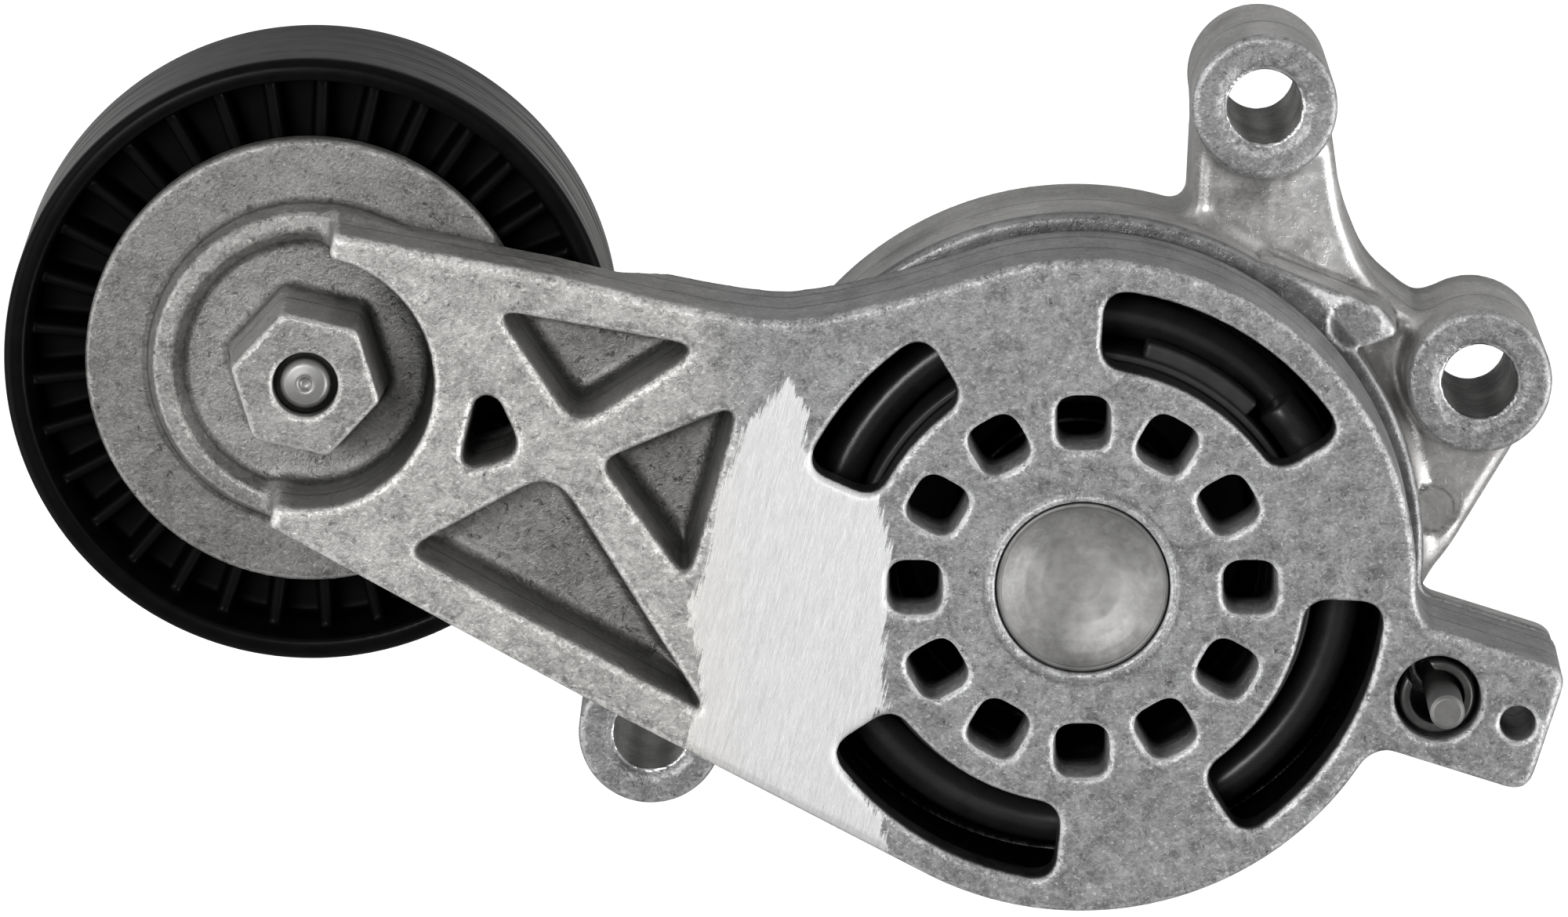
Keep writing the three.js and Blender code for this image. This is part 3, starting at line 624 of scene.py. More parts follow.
def base_paint(x, y, z, up):
    """Smooth between the bosses, with painted reflections bright and dark round the inside of the
    bores. Painted shade darkens the walls and makes the cup near black, painted light brightens the
    web towards its right, and a painted highlight rings the ejector mark.
    """
    r = np.hypot(x, y)
    wall = 1 - ramp(np.abs(up), 0.35, 0.8)
    top = ramp(z, 23.0, 23.8)
    bore, streaks_and_reflection = np.zeros_like(r), np.zeros_like(r)
    # Painted reflection in the bores: lighter and darker lines by the angle round each bore.
    for bx, by in BOSSES:
        near = 1 - ramp(np.hypot(x - bx, y - by), 4.4, 4.7)
        turn = np.arctan2(y - by, x - bx)
        streak_and_reflection = np.clip(0.5 + 0.5 * np.cos(turn) ** 2 + 0.2 * np.sin(7 * turn), 0.05, 1)
        bore = np.maximum(bore, near)
        streaks_and_reflection = np.where(near > 0, streak_and_reflection, streaks_and_reflection)
    facet = ramp(-LUG.distance(x, y), 0.1, 0.6) * ramp(r, 40.1, 40.9) * ramp(z, 24.7, 24.95)
    mark = np.hypot(x - EJECTOR_AT[0], y - EJECTOR_AT[1])
    # A painted highlight: a light ring along the edge of the ejector mark.
    ring = 1 - ramp(np.abs(mark - EJECTOR_R), 0.15, 0.5)
    facet = facet * ramp(mark, 2.9, 3.3) + 0.8 * ring * top
    ledge = top * (1 - ramp(r, 40.0, 40.6))
    # Painted shade darkens the walls.
    tone = (0.64 - 0.28 * top - 0.1 * ledge) * (1 - 0.2 * wall)
    # Painted light: the web is lighter towards its right side, below the upper boss.
    tone = tone * (1 + 0.45 * ramp(x, 19, 27) * ramp(y, 28, 34) * (1 - top) * (1 - wall))
    tone = tone + (streaks_and_reflection - tone) * bore + 0.5 * facet
    # Painted shade: the inside of the cup is near black.
    tone = np.where((r < 35.2) & (z > 5.5) & (z < 24.9), 0.02, tone)
    gloss = np.maximum(0.75 * (1 - top) * (1 - 0.5 * wall) + 0.5 * ledge, bore)
    return {"tone": tone, "wall": wall * (1 - bore), "gloss": gloss, "warm": 0.8 * (1 - top)}


def base_casting():
    f = Field((-59.5, -41.8, -1.4), (57.5, 62.2, 26.6), CASTING_STEP)
    f.add(circle(PIVOT_AT, BASE_R), UNDER, OVER, (0, 0), -0.04)
    for web in WEBS:
        f.add(web, UNDER, WEB_Z, (0, 1.8), 0.02, 2.5)
    for at in BOSSES:
        f.add(circle(at, BOSS_R), UNDER, BOSS_Z, (0, 0.6), -0.01, 1.6)
    f.add(LUG, 14.0, OVER, (0.2, 0), 0.03, 0.6)
    f.add(tab_outline(), TAB_BACK_Z, OVER, (0.5, 0), 0.0, 1.5)
    f.trim(0.0, RIM_Z, 0.8, 0.8)
    # The cup: a deep ring for the spring, a low wall inside it, and the pivot pin's tower.
    cup = [(23.3, CUP_FLOOR_Z), (34.6, CUP_FLOOR_Z), (34.6, OVER), (23.3, OVER)]
    f.cut_spun(smooth_profile(cup, 0.8), PIVOT_AT, 0.5)
    f.cut(circle(PIVOT_AT, 20.6), CUP_FLOOR_Z, OVER, floor=0.8, edge=0.4)
    f.cut(circle(PIVOT_AT, 24.3), 20.0, OVER, edge=0.4)
    f.add(circle(PIVOT_AT, 13.5), 4.0, 11.0, (0.0, 0.5), 0.0, 0.8)
    f.cut(circle(PIVOT_AT, 7.3), UNDER, 13.0, edge=0.3)
    f.cut(circle(PIVOT_AT, 9.1), UNDER, 3.0, edge=0.4)
    sink = [(0, UNDER), (BORE_R, UNDER), (BORE_R, 23.5), (5.3, BOSS_Z), (6.4, 25.2), (0, 25.2)]
    for at in BOSSES:
        f.cut_spun(sink, at, 0.25)
    # Ejector marks on the lug and on the web, and the two holes of the tab.
    f.cut(circle(EJECTOR_AT, EJECTOR_R), 24.7, 27.0, edge=0.1)
    f.cut(circle((41.0, 3.5), 2.9), 16.75, 19.0, edge=0.15)
    f.cut(circle(on_tab(LOCK_PIN_ALONG), BASE_HOLE_R), 21.0, 27.0, floor=0.3, edge=0.35)
    f.cut(circle(on_tab(SMALL_HOLE_ALONG), SMALL_HOLE_R), 18.0, 27.0, edge=0.3)
    # Shallow relief on the back, between ribs.
    for k in range(BACK_RIBS):
        turn = 360 / BACK_RIBS * k
        relief = arc_slot(18.5, 33.5, turn + 5, turn + 40, 2.5)
        f.cut(relief, -2.0, 1.6, top=0.6, edge=0.4, draft=0.2)
    return f.mesh("base_casting", base_paint)


def pulley_paint(x, y, z, up):
    """Where the belt runs, made strongest at the two sides by a painted reflection, and a matt web
    inside the rim.
    """
    r = np.hypot(x - PULLEY_AT[0], y - PULLEY_AT[1])
    turn = np.arctan2(y - PULLEY_AT[1], x - PULLEY_AT[0])
    track = ramp(r, 34.6, 34.9) * ramp(z, 6.8, 7.6) * (1 - ramp(z, 29.0, 29.8))
    # Painted reflection: the track is weighted by angle, light at both sides and dark between.
    return {"track": track * (0.08 + 0.92 * np.cos(turn) ** 2), "matt": 1 - ramp(r, 31.0, 31.8)}


def pulley_moulding():
    x, y = PULLEY_AT
    f = Field((x - 36.2, y - 36.2, 4.9), (x + 36.2, y + 36.2, 31.7), PULLEY_STEP)
    rim = [
        (32.4, BELT_LOW_Z, 0.6), (BELT_R, BELT_LOW_Z, 1.3), (BELT_R, BELT_HIGH_Z, 1.3),
        (32.5, BELT_HIGH_Z, 0.5), (31.8, 19.6, 0.6), (31.8, 17.2, 0.6)]
    f.add_spun(smooth_profile(rim, 0.5), PULLEY_AT, 0.2)
    hub = [(20.3, 11.6), (22.6, 11.6), (22.8, 18), (22.6, 25), (20.3, 25)]
    f.add_spun(smooth_profile(hub, 0.5), PULLEY_AT, 0.4)
    web = [(22, 17.2), (32.5, 17.2), (32.5, 19.6), (22, 19.6)]
    f.add_spun(web, PULLEY_AT, 0.8)
    # The ribs, thickest beside the web.
    X = f.axes[0][:, None] - x
    Y = f.axes[1][None, :] - y
    z = f.axes[2][None, None, :]
    rho, turn = np.hypot(X, Y), np.arctan2(Y, X) * RIBS / (2 * np.pi)
    swing = (turn - np.round(turn)) * 2 * np.pi / RIBS
    beside = np.abs(rho * np.sin(swing))[:, :, None]
    ahead = (rho * np.cos(swing))[:, :, None]
    half_thick = 0.72 + 0.02 * (8.5 - np.abs(z - 18.0))
    rib = round_and(beside - half_thick, np.maximum(z - RIB_FRONT_Z, RIB_BACK_Z - z), 0.55)
    rib = np.maximum(rib, np.maximum(21.4 - ahead, ahead - 33.2)).astype(np.float32)
    f.d = -round_and(-f.d, -rib, 0.5)
    return f.mesh("pulley_moulding", pulley_paint)


# ---------------- turned and bent parts


def bolt():
    x, y = PULLEY_AT
    f = Field((x - 9, y - 9, 3.8), (x + 9, y + 9, 44.6), BOLT_STEP)
    f.add(hexagon(PULLEY_AT, BOLT_CORNER_R, 0, 0.35), 4.6, 10.0, (0, 0), 0.0, 0.0)
    f.cut(circle(PULLEY_AT, 4.2), 3.0, 5.4, edge=0.3, top=0.5)
    dome = [(0, 4.4), (5.2, 4.6), (7.6, 5.9), (9.0, 9.2), (9.0, 12), (0, 12)]
    f.keep_spun(smooth_profile(dome, 0.5), PULLEY_AT, 0.15, 3.0)
    shaft = [
        (0, 9.2), (8.2, 9.2), (8.2, 10.3), (3.85, 10.3), (3.85, 41.1), (2.9, 41.9),
        (2.9, 43.1), (2.3, 43.6), (0.9, 43.75), (0.55, 43.2), (0, 43.1)]
    f.add_spun(smooth_profile(shaft, 0.25), PULLEY_AT, 0.3)
    return f.mesh("pulley_bolt_detailed")


def coil_spring():
    """Five turns of wire, whose ends are cut square with a small bevel."""
    turns, per_turn = 5, 72
    t = np.linspace(0, 1, turns * per_turn + 1)
    angle = np.radians(COIL_FIRST_ANGLE + 360 * turns * t)
    centres = np.stack([
        COIL_R * np.cos(angle), COIL_R * np.sin(angle), COIL_FROM_Z + COIL_RISE * t], 1)
    step = np.linalg.norm(centres[1] - centres[0])
    sizes, back = (0.001, 1.9, 2.3, WIRE_R), (0.0, 0.02, 0.18, 0.5)
    first = [centres[0] + (centres[1] - centres[0]) * b / step for b in back]
    last = [centres[-1] + (centres[-2] - centres[-1]) * b / step for b in back]
    radii = np.concatenate([sizes, np.full(len(centres) - 2, WIRE_R), sizes[::-1]])
    centres = np.vstack([first, centres[1:-1], last[::-1]])
    return swept("coil_spring", centres, radii, 28)


def sleeve_step():
    """A raised stretch of the sleeve beside the end of the spring."""
    f = Field((3.6, 17.4, 33.4), (21.4, 29.4, 38.6), SLEEVE_STEP)
    f.add(arc_slot(26.2, 28.3, 45, 75, 0.5), 34.4, 37.5, (0.3, 0.5))
    return f.mesh("sleeve_step_moulded")


def rolled_pin():
    """A tube rolled from sheet, with a gap along one side."""
    x, y = on_tab(SPRING_PIN_ALONG)
    f = Field((x - 5, y - 5, 26.2), (x + 5, y + 5, 43.4), SPRING_PIN_STEP)
    tube = [(3.05, 27.1), (4.3, 27.1, 0.6), (4.3, 42.5, 0.6), (3.05, 42.5)]
    f.add_spun(smooth_profile(tube, 0.25), (x, y), 0.0)
    u, v = polar(1, 125), polar(1, 215)
    corners = [(0.5, -1.5), (7, -1.5), (7, 1.5), (0.5, 1.5)]
    gap = Outline([(x + a * u[0] + b * v[0], y + a * u[1] + b * v[1]) for a, b in corners])
    f.cut(gap, 24.0, 46.0, edge=0.2)
    return f.mesh("rolled_spring_pin")


DISH = [(r, 41.3 + 1.75 * (r / 9.2) ** 3.2, 4.0) for r in (9.2, 8.7, 7.8, 6.5, 4.5, 2.2, 0.0)]

# Each row: name, body, CAD node, centre, corner size, sides and profile.
TURNED = [
    ("pivot_pin_dished", "base", "pivot_pin", PIVOT_AT, 0.3, 160, [
        (0, 0), (8.8, 0), (8.8, 2.7), (7, 2.7), (7, 40), (9.82, 40), (9.82, 43.2, 0.25),
        (9.4, 43.3, 0.25), *DISH]),
    ("retaining_washer_turned", "base", "retaining_washer", PIVOT_AT, 0.25, 128, [
        (7.3, 38.3), (9.6, 38.3), (9.6, 39.7), (7.3, 39.7)]),
    ("damper_sleeve_moulded", "base", "damper_sleeve", PIVOT_AT, 0.2, 160, [
        (23.7, 7.8), (26.4, 7.8), (26.4, 38.2, 0.5), (25.6, 38.2, 0.3), (25.4, 37.7),
        (24.2, 37.7), (24.0, 38.2), (23.7, 38.2)]),
    ("spring_seat_moulded", "base", "spring_seat", PIVOT_AT, 0.15, 128, [
        (26.3, 6.3), (34.3, 6.3), (34.3, 7.7), (32.6, 7.7), (32.3, 7.4), (27, 7.4),
        (26.7, 7.7), (26.3, 7.7)]),
    ("dust_seal_moulded", "base", "dust_seal", PIVOT_AT, 0.15, 160, [
        (35, 25.3), (37.3, 25.3), (37.3, 26), (36.6, 25.85), (35.7, 25.85), (35, 26)]),
    ("thrust_washer_turned", "base", "thrust_washer", PIVOT_AT, 0.2, 128, [
        (7.3, 11.3), (12.7, 11.3), (12.7, 12.3), (7.3, 12.3)]),
    ("pivot_bushing_turned", "arm", "pivot_bushing", PIVOT_AT, 0.3, 128, [
        (7.3, 12.9), (9, 12.9), (9, 37.7), (7.3, 37.7)]),
    ("bearing_spacer_turned", "arm", "bearing_spacer", PULLEY_AT, 0.35, 128, [
        (4.15, 12.3), (8.2, 12.3), (8.2, 24.3), (4.15, 24.3)]),
    ("rear_shield_pressed", "arm", "rear_dust_shield", PULLEY_AT, 0.25, 128, [
        (4.15, 10.6), (11, 10.6, 1.2), (17.5, 9.4, 0.3), (17.5, 10.5, 0.3), (11, 12, 1.2),
        (4.15, 12)]),
    ("bearing_inner_ring_ground", "arm", "bearing_inner_ring", PULLEY_AT, 0.5, 128, [
        (8.5, 12.3), (12, 12.3), (12, 15.52, 0.2), (11.1, 16.5, 1.5), (10.65, 18.3, 3),
        (11.1, 20.1, 1.5), (12, 21.08, 0.2), (12, 24.3), (8.5, 24.3)]),
    ("bearing_outer_ring_ground", "pulley_wheel", "bearing_outer_ring", PULLEY_AT, 0.3, 160, [
        (16.6, 12.3), (20, 12.3, 0.6), (20, 24.3, 0.6), (16.6, 24.3), (16.6, 21.1, 0.2),
        (17.4, 20.1, 1.5), (17.85, 18.3, 3), (17.4, 16.5, 1.5), (16.6, 15.5, 0.2)]),
    ("front_seal_moulded", "pulley_wheel", "bearing_seal_front", PULLEY_AT, 0.12, 128, [
        (12.3, 23), (16.5, 23), (16.5, 24), (15.6, 24), (15.2, 23.7), (13.4, 23.7), (13, 24),
        (12.3, 24)]),
    ("rear_seal_moulded", "pulley_wheel", "bearing_seal_rear", PULLEY_AT, 0.12, 128, [
        (12.3, 13.6), (12.3, 12.6), (13, 12.6), (13.4, 12.9), (15.2, 12.9), (15.6, 12.6),
        (16.5, 12.6), (16.5, 13.6)]),
    ("lock_pin_ground", "transit_pin", "lock_pin", on_tab(LOCK_PIN_ALONG), 0.2, 48, [
        (0, 27.6), (1.5, 27.6, 0.2), (2, 28.2, 0.3), (2, 49.1, 0.3), (1.6, 49.5, 0.25),
        (0, 49.5)]),
]


# ---------------- materials


PARTING_LINES = (13.5, 30.4, 36.6)  # heights


class Look:
    """A material of nodes. Coordinates are the piece's own, in millimetres."""

    def __init__(self, name):
        self.material = bpy.data.materials.new(name)
        self.material.use_nodes = True
        self.tree = self.material.node_tree
        self.tree.nodes.clear()
        self.shader = self.tree.nodes.new("ShaderNodeBsdfPrincipled")
        output = self.tree.nodes.new("ShaderNodeOutputMaterial")
        self.tree.links.new(self.shader.outputs[0], output.inputs["Surface"])
        place = self.tree.nodes.new("ShaderNodeTexCoord").outputs["Object"]
        self.at = self.node("VectorMath", {0: place, "Scale": 1000.0}, operation="SCALE")

    def node(self, kind, inputs=None, out=0, **settings):
        made = self.tree.nodes.new("ShaderNode" + kind)
        for key, value in settings.items():
            setattr(made, key, value)
        for key, value in (inputs or {}).items():
            self.put(made.inputs[key], value)
        return made.outputs[out]

    def put(self, socket, value):
        if isinstance(value, bpy.types.NodeSocket):
            self.tree.links.new(value, socket)
        else:
            socket.default_value = value

    def set(self, **values):
        for key, value in values.items():
            self.put(self.shader.inputs[key.replace("_", " ")], value)

    def math(self, operation, a, b=0.0):
        return self.node("Math", {0: a, 1: b}, operation=operation)

    def times(self, a, b):
        return self.math("MULTIPLY", a, b)

    def add(self, *values):
        total = values[0]
        for value in values[1:]:
            total = self.math("ADD", total, value)
        return total

    def scaled(self, value, by, plus=0.0):
        """The value times by, plus an offset."""
        return self.node("Math", {0: value, 1: by, 2: plus}, operation="MULTIPLY_ADD")

    def between(self, value, low, high, out_low=0.0, out_high=1.0):
        """A smooth step from out_low at low to out_high at high."""
        inputs = {
            "Value": value, "From Min": low, "From Max": high,
            "To Min": out_low, "To Max": out_high}
        return self.node("MapRange", inputs, interpolation_type="SMOOTHSTEP")

    def mixed(self, factor, a, b):
        """The number a where factor is 0, and b where it is 1."""
        return self.node("Mix", {0: factor, 2: a, 3: b}, data_type="FLOAT")

    def grey(self, value):
        """A number as a colour that is barely warm."""
        shares = [self.times(value, share) for share in (1.0, 0.99, 0.975)]
        return self.node("CombineColor", dict(enumerate(shares)))

    def noise(self, scale, detail=4.0, roughness=0.6, at=None, distortion=0.0):
        inputs = {
            "Vector": at or self.at, "Scale": scale, "Detail": detail, "Roughness": roughness,
            "Distortion": distortion}
        return self.node("TexNoise", inputs)

    def turned(self, degrees, stretch):
        """Coordinates turned about Z and stretched, for marks that run one way."""
        inputs = {"Vector": self.at, "Rotation": (0, 0, math.radians(degrees)), "Scale": stretch}
        return self.node("Mapping", inputs, vector_type="TEXTURE")

    def layer(self, name):
        return self.node("Attribute", out=2, attribute_name=name)

    def axis(self, index):
        return self.node("SeparateXYZ", {0: self.at}, out=index)

    def bump(self, height, strength, distance=0.1):
        inputs = {"Height": height, "Strength": strength, "Distance": distance * MM}
        self.put(self.shader.inputs["Normal"], self.node("Bump", inputs))


def cast_aluminium(name, patch=False, wear_and_highlight=0.52):
    """Die-cast skin. Its layers say how light, how smooth and how upright each place is.

    A patch is a face that is ground bright, and the last argument is how light the edges are, partly
    worn bright and partly painted highlight."""
    look = Look(name)
    tone, gloss, wall = look.layer("tone"), look.layer("gloss"), look.layer("wall")
    bend, warm = look.layer("bend"), look.layer("warm")
    broad = look.noise(0.14, 4, 0.6)
    blotch = look.noise(0.55, 6, 0.72, distortion=0.8)
    grain = look.noise(2.4, 4, 0.7)
    specks = look.between(look.noise(1.7, 2, 0.5), 0.6, 0.7)
    pits = look.between(look.noise(1.0, 4, 0.65, distortion=0.5), 0.6, 0.68)
    nicks = look.between(look.noise(1.0, 2, 0.5, look.turned(35, (1.8, 0.13, 1.0))), 0.66, 0.72)
    smooth = look.noise(0.09, 1, 0.4, distortion=0.8)
    rough = look.scaled(gloss, -0.95, 1.0)

    # How light the skin is: its tone, which carries the painted shade and painted light of each
    # casting, mottled where it is rough and waved where it is smooth.
    mottle = look.add(
        look.scaled(blotch, 1.5, -0.75), look.scaled(grain, 1.5, -0.75),
        look.scaled(specks, 0.35), look.scaled(pits, -0.38), look.scaled(nicks, 0.3))
    waves = look.add(
        look.scaled(broad, 0.9, -0.45), look.times(look.scaled(smooth, 2.2, -1.1), gloss))
    value = look.times(tone, look.add(look.times(mottle, rough), waves, 1.0))

    # Painted shade along inner corners, and light along outer edges, partly worn bright and partly
    # painted highlight.
    ragged = look.add(bend, look.scaled(blotch, 2.4, -1.2), look.scaled(grain, 1.6, -0.8))
    edge = look.between(ragged, 0.55, 1.3)
    crease_shade = look.between(look.times(bend, -1.0), 0.12, 0.9)
    value = look.times(value, look.scaled(crease_shade, -0.45, 1.0))
    value = look.times(value, look.scaled(edge, wear_and_highlight, 1.0))

    # Parting lines of the mould, wavering round the walls.
    wobble = look.scaled(look.noise(0.25, 2, 0.5), 0.8, -0.4)
    level = look.add(look.axis(2), wobble)
    for line_z in PARTING_LINES:
        off = look.math("ABSOLUTE", look.add(level, -line_z))
        line = look.times(look.between(off, 0.12, 0.5, 1.0, 0.0), wall)
        value = look.times(value, look.scaled(line, -0.4, 1.0))

    roughness = look.add(
        look.scaled(blotch, 0.5, 0.18), look.scaled(gloss, -0.14), look.scaled(edge, -0.06))
    height = look.times(rough, look.add(
        look.scaled(grain, 0.5), look.scaled(blotch, 0.8),
        look.scaled(specks, 0.25), look.scaled(pits, -0.4)))
    height = look.add(height, look.times(look.scaled(smooth, 6.0), gloss))
    if patch:
        # The border of the patch is ragged along its strokes.
        strokes = look.noise(1.0, 5, 0.75, look.turned(76, (7.0, 0.4, 1.0)))
        fine = look.noise(1.0, 4, 0.7, look.turned(76, (2.6, 0.15, 1.0)))
        reach = look.add(
            look.layer("patch"), look.scaled(strokes, 5.0, -2.5), look.scaled(blotch, 1.6, -0.8))
        on_face = look.between(look.axis(2), FACE_Z - 0.7, FACE_Z - 0.25)
        ground = look.times(look.between(reach, -0.2, 0.3), on_face)
        bright = look.add(look.scaled(fine, 0.6, -0.3), look.scaled(strokes, 0.25, -0.125), 0.9)
        marks = look.add(look.scaled(fine, 0.5), look.scaled(strokes, 0.25))
        value = look.mixed(ground, value, bright)
        roughness = look.mixed(ground, roughness, 0.45)
        height = look.mixed(ground, height, marks)
    green = look.times(value, look.scaled(warm, -0.015, 1.0))
    blue = look.times(value, look.scaled(warm, -0.05, 1.01))
    colour = look.node("CombineColor", {0: value, 1: green, 2: blue})
    look.set(
        Base_Color=colour, Metallic=look.scaled(wall, -0.45, 0.85), Roughness=roughness)
    look.bump(height, 0.6, 0.2)
    return look.material


def machined_steel(name, value, roughness, cloud=0.14, shaded_rim=None):
    """Bare turned steel. Given a rim radius, painted shade darkens it towards that radius from the
    pivot, as in a dished face.
    """
    look = Look(name)
    smear = look.noise(0.3, 4, 0.6, distortion=0.2)
    lines = look.noise(1.0, 3, 0.6, look.turned(0, (1.0, 1.0, 0.08)))
    tone = look.add(look.scaled(smear, cloud, -0.5 * cloud), look.scaled(lines, 0.1, -0.05), value)
    # Painted shade: darker towards the rim, as in a concave dish.
    if shaded_rim:
        squares = [look.times(look.axis(k), look.axis(k)) for k in (0, 1)]
        shade_wobble = look.scaled(look.noise(0.9, 4, 0.7), 5.0, -2.5)
        radius = look.add(look.math("SQRT", look.add(*squares)), shade_wobble)
        inside = look.between(radius, 0.55 * shaded_rim, 1.02 * shaded_rim)
        tone = look.times(tone, look.scaled(inside, -0.42, 1.06))
    roughness = look.scaled(smear, 0.16, roughness - 0.08)
    look.set(Base_Color=look.grey(tone), Metallic=1.0, Roughness=roughness)
    look.bump(look.add(look.scaled(lines, 0.6), look.scaled(smear, 0.4)), 0.25, 0.04)
    return look.material


def pulley_nylon(name):
    """Black nylon, whose track is lined light, partly worn by the belt and partly painted reflection.
    """
    look = Look(name)
    cloud = look.noise(0.4, 4, 0.6)
    speck = look.noise(4.5, 3, 0.6)
    bands = look.noise(0.5, 4, 0.7, look.turned(0, (12.0, 12.0, 0.3)))
    # Light lines on the track: belt polish, with the painted reflection carried in the track layer.
    streak_and_reflection = look.times(look.layer("track"), look.between(bands, 0.36, 0.58))
    tone = look.add(look.scaled(cloud, 0.004, 0.001), look.scaled(streak_and_reflection, 0.45))
    roughness = look.add(
        look.scaled(cloud, 0.14, 0.23), look.scaled(streak_and_reflection, 0.12),
        look.scaled(look.layer("matt"), 0.22))
    look.set(Base_Color=look.grey(tone), Roughness=roughness)
    look.shader.inputs["Specular IOR Level"].default_value = 0.09
    look.bump(look.add(look.scaled(speck, 0.5), look.scaled(bands, 0.4)), 0.12, 0.05)
    return look.material


def black_part(name, value, roughness, gloss, grain, lines=0.0):
    """A polymer, rubber or coated part, grained, and with fine lines round it if asked."""
    look = Look(name)
    cloud = look.noise(0.4, 4, 0.6)
    speck = look.noise(4.5, 3, 0.6)
    tone = look.add(
        look.scaled(cloud, value * 0.9, value * 0.55),
        look.scaled(speck, value * 0.3, -value * 0.15))
    look.set(Base_Color=look.grey(tone), Roughness=look.scaled(cloud, 0.14, roughness - 0.07))
    look.shader.inputs["Specular IOR Level"].default_value = gloss
    height = look.scaled(speck, 1.0)
    if lines:
        rings = look.noise(1.0, 3, 0.7, look.turned(0, (4.0, 4.0, 0.12)))
        height = look.add(height, look.scaled(rings, lines))
    look.bump(height, grain, 0.05)
    return look.material


# ---------------- assembly


def coat_with(piece, material):
    piece.data.materials.clear()
    piece.data.materials.append(material)


def dress(piece, material, body, node=None):
    """Gives a piece its material and body, and hides the CAD node that it replaces."""
    coat_with(piece, material)
    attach(piece, body)
    if node:
        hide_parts(node)


def build():
    steel = machined_steel("bearing_steel_look", 0.62, 0.28)
    dark = machined_steel("dark_steel_look", 0.16, 0.34)
    satin = machined_steel("bolt_steel_look", 0.44, 0.42)
    dished = machined_steel("pivot_steel_look", 0.46, 0.5, 0.5, 9.6)
    pin = machined_steel("pin_steel_look", 0.3, 0.5)
    nylon = black_part("black_nylon_look", 0.008, 0.3, 0.4, 0.12, 0.4)
    sleeve = black_part("sleeve_nylon_look", 0.045, 0.4, 0.5, 0.15, 0.6)
    coat = black_part("spring_coat_look", 0.022, 0.28, 0.6, 0.22, 0.3)
    rubber = black_part("seal_rubber_look", 0.03, 0.6, 0.4, 0.4)
    bush = black_part("bush_polymer_look", 0.12, 0.5, 0.4, 0.2)
    cage = black_part("cage_polymer_look", 0.5, 0.55, 0.4, 0.2)
    looks = {
        "pivot_pin": (dished, "bearing_steel"), "retaining_washer": (dark, "dark_steel"),
        "damper_sleeve": (sleeve, "black_nylon"), "spring_seat": (nylon, "black_nylon"),
        "dust_seal": (rubber, "seal_rubber"), "thrust_washer": (bush, "bush_polymer"),
        "pivot_bushing": (bush, "bush_polymer"), "bearing_spacer": (steel, "bearing_steel"),
        "rear_dust_shield": (dark, "dark_steel"), "bearing_inner_ring": (steel, "bearing_steel"),
        "bearing_outer_ring": (steel, "bearing_steel"), "bearing_seal_front": (rubber, "seal_rubber"),
        "bearing_seal_rear": (rubber, "seal_rubber"), "lock_pin": (pin, "dark_steel"),
    }
    arm_skin = cast_aluminium("arm_aluminium", patch=True)
    base_skin = cast_aluminium("base_aluminium", wear_and_highlight=0.4)
    dress(arm_casting(), arm_skin, "arm", "tensioner_arm")
    dress(base_casting(), base_skin, "base", "base_housing")
    dress(pulley_moulding(), pulley_nylon("pulley_nylon_look"), "pulley_wheel", "pulley")
    dress(bolt(), satin, "arm", "pulley_bolt")
    dress(sleeve_step(), sleeve, "base")
    dress(coil_spring(), coat, "base", "torsion_spring")
    dress(rolled_pin(), dark, "arm", "spring_pin")
    for name, body, node, at, corner, sides, profile in TURNED:
        material, slot = looks[node]
        dress(spun(name, profile, at, corner, sides), material, body, node)
    # The balls and the cage stay as they are in the CAD.
    for name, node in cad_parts.items():
        if name.startswith(("bearing_ball", "bearing_cage")):
            coat_with(node, cage if name == "bearing_cage" else steel)


# ---------------- stage


def set_stops(ramp_node, stops):
    """Grey levels along a colour ramp."""
    elements = ramp_node.color_ramp.elements
    elements.remove(elements[1])
    for index, (position, level) in enumerate(stops):
        stop = elements[0] if index == 0 else elements.new(position)
        stop.position, stop.color = position, (level, level, level, 1)


def floor():
    """White to look at, though it lights the part's walls only dimly."""
    half, below = 4.0, -0.0003
    corners = [(-half, -half), (half, -half), (half, half), (-half, half)]
    mesh = bpy.data.meshes.new("studio_floor")
    mesh.from_pydata([(x, y, below) for x, y in corners], [], [(0, 1, 2, 3)])
    material = bpy.data.materials.new("pale_floor")
    material.use_nodes = True
    tree = material.node_tree
    shader = tree.nodes["Principled BSDF"]
    shader.inputs["Base Color"].default_value = (0.3, 0.3, 0.3, 1)
    shader.inputs["Roughness"].default_value = 0.9
    shader.inputs["Emission Color"].default_value = (1, 1, 1, 1)
    rays = tree.nodes.new("ShaderNodeLightPath")
    glow = tree.nodes.new("ShaderNodeMath")
    glow.operation = "MULTIPLY_ADD"
    glow.inputs[1].default_value, glow.inputs[2].default_value = 0.94, 0.08
    tree.links.new(rays.outputs["Is Camera Ray"], glow.inputs[0])
    tree.links.new(glow.outputs[0], shader.inputs["Emission Strength"])
    mesh.materials.append(material)
    placed("studio_floor", mesh)


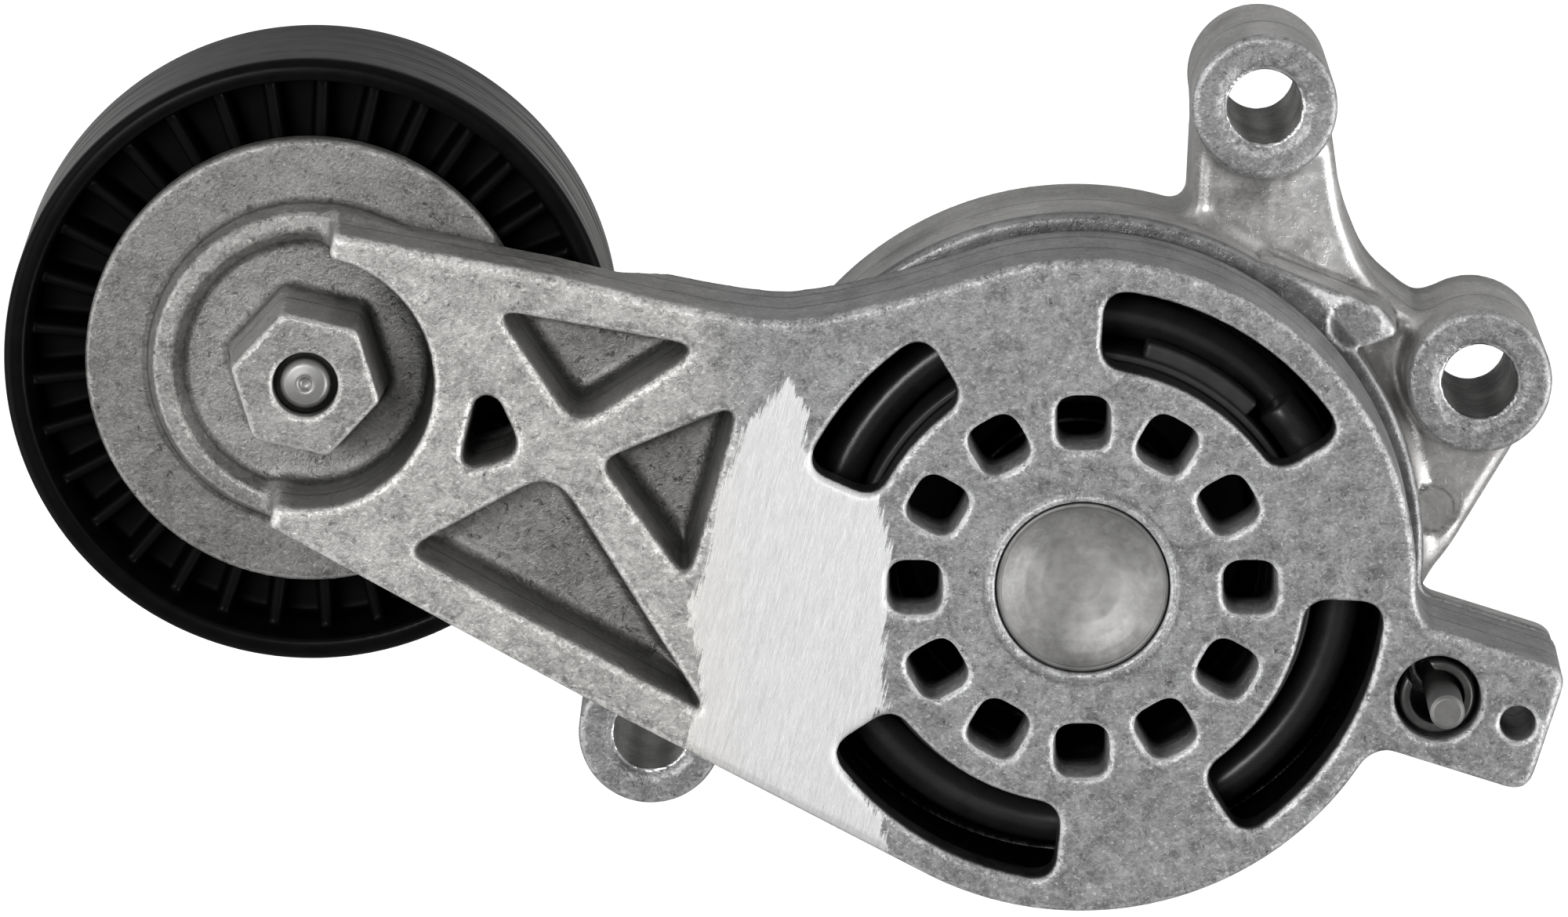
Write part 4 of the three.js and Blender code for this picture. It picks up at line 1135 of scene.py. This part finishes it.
def sky():
    """Soft light from above and from both sides."""
    world = bpy.data.worlds.new("soft_studio")
    bpy.context.scene.world = world
    world.use_nodes = True
    tree = world.node_tree
    tree.nodes.clear()
    place = tree.nodes.new("ShaderNodeTexCoord")
    split = tree.nodes.new("ShaderNodeSeparateXYZ")
    heights = tree.nodes.new("ShaderNodeValToRGB")
    sides = tree.nodes.new("ShaderNodeValToRGB")
    across = tree.nodes.new("ShaderNodeMath")
    both = tree.nodes.new("ShaderNodeMix")
    shader = tree.nodes.new("ShaderNodeBackground")
    output = tree.nodes.new("ShaderNodeOutputWorld")
    across.operation = "ABSOLUTE"
    both.data_type, both.blend_type = "RGBA", "ADD"
    both.inputs[0].default_value = 1.0
    for source, outlet, target, inlet in (
            (place, "Generated", split, 0), (split, "Z", heights, 0), (split, "X", across, 0),
            (across, 0, sides, 0), (heights, 0, both, 6), (sides, 0, both, 7),
            (both, 2, shader, "Color"), (shader, 0, output, "Surface")):
        tree.links.new(source.outputs[outlet], target.inputs[inlet])
    set_stops(heights, ((0.0, 0.4), (0.45, 0.55), (0.75, 0.3), (1.0, 0.18)))
    set_stops(sides, ((0.0, 0.0), (0.55, 0.0), (0.85, 1.0)))


def lamps():
    """Two round lamps that face the part: the place, the size and the watts of each."""
    target = Vector((-0.03, 0.0, 0.02))
    for name, at, size, watts in (
            ("key", (-0.35, 0.25, 1.1), 0.35, 3.2),
            ("fill", (0.8, -0.3, 0.7), 0.5, 2.0)):
        lamp = bpy.data.lights.new(name, "AREA")
        lamp.shape, lamp.size, lamp.energy = "DISK", size, watts
        holder = placed(name, lamp)
        holder.location = at
        aim = target - Vector(at)
        holder.rotation_euler = aim.to_track_quat("-Z", "Y").to_euler()


def camera():
    data = bpy.data.cameras.new("camera")
    data.lens, data.sensor_width = 270.0, 36.0
    data.clip_end = 50.0
    holder = placed("camera", data)
    holder.location = (-0.0339, 0.2875, 1.3474)
    holder.rotation_euler = Euler((-0.206, 0, 0))
    bpy.context.scene.camera = holder
    bpy.context.scene.view_settings.view_transform = "Standard"


camera()
build()
floor()
sky()
lamps()
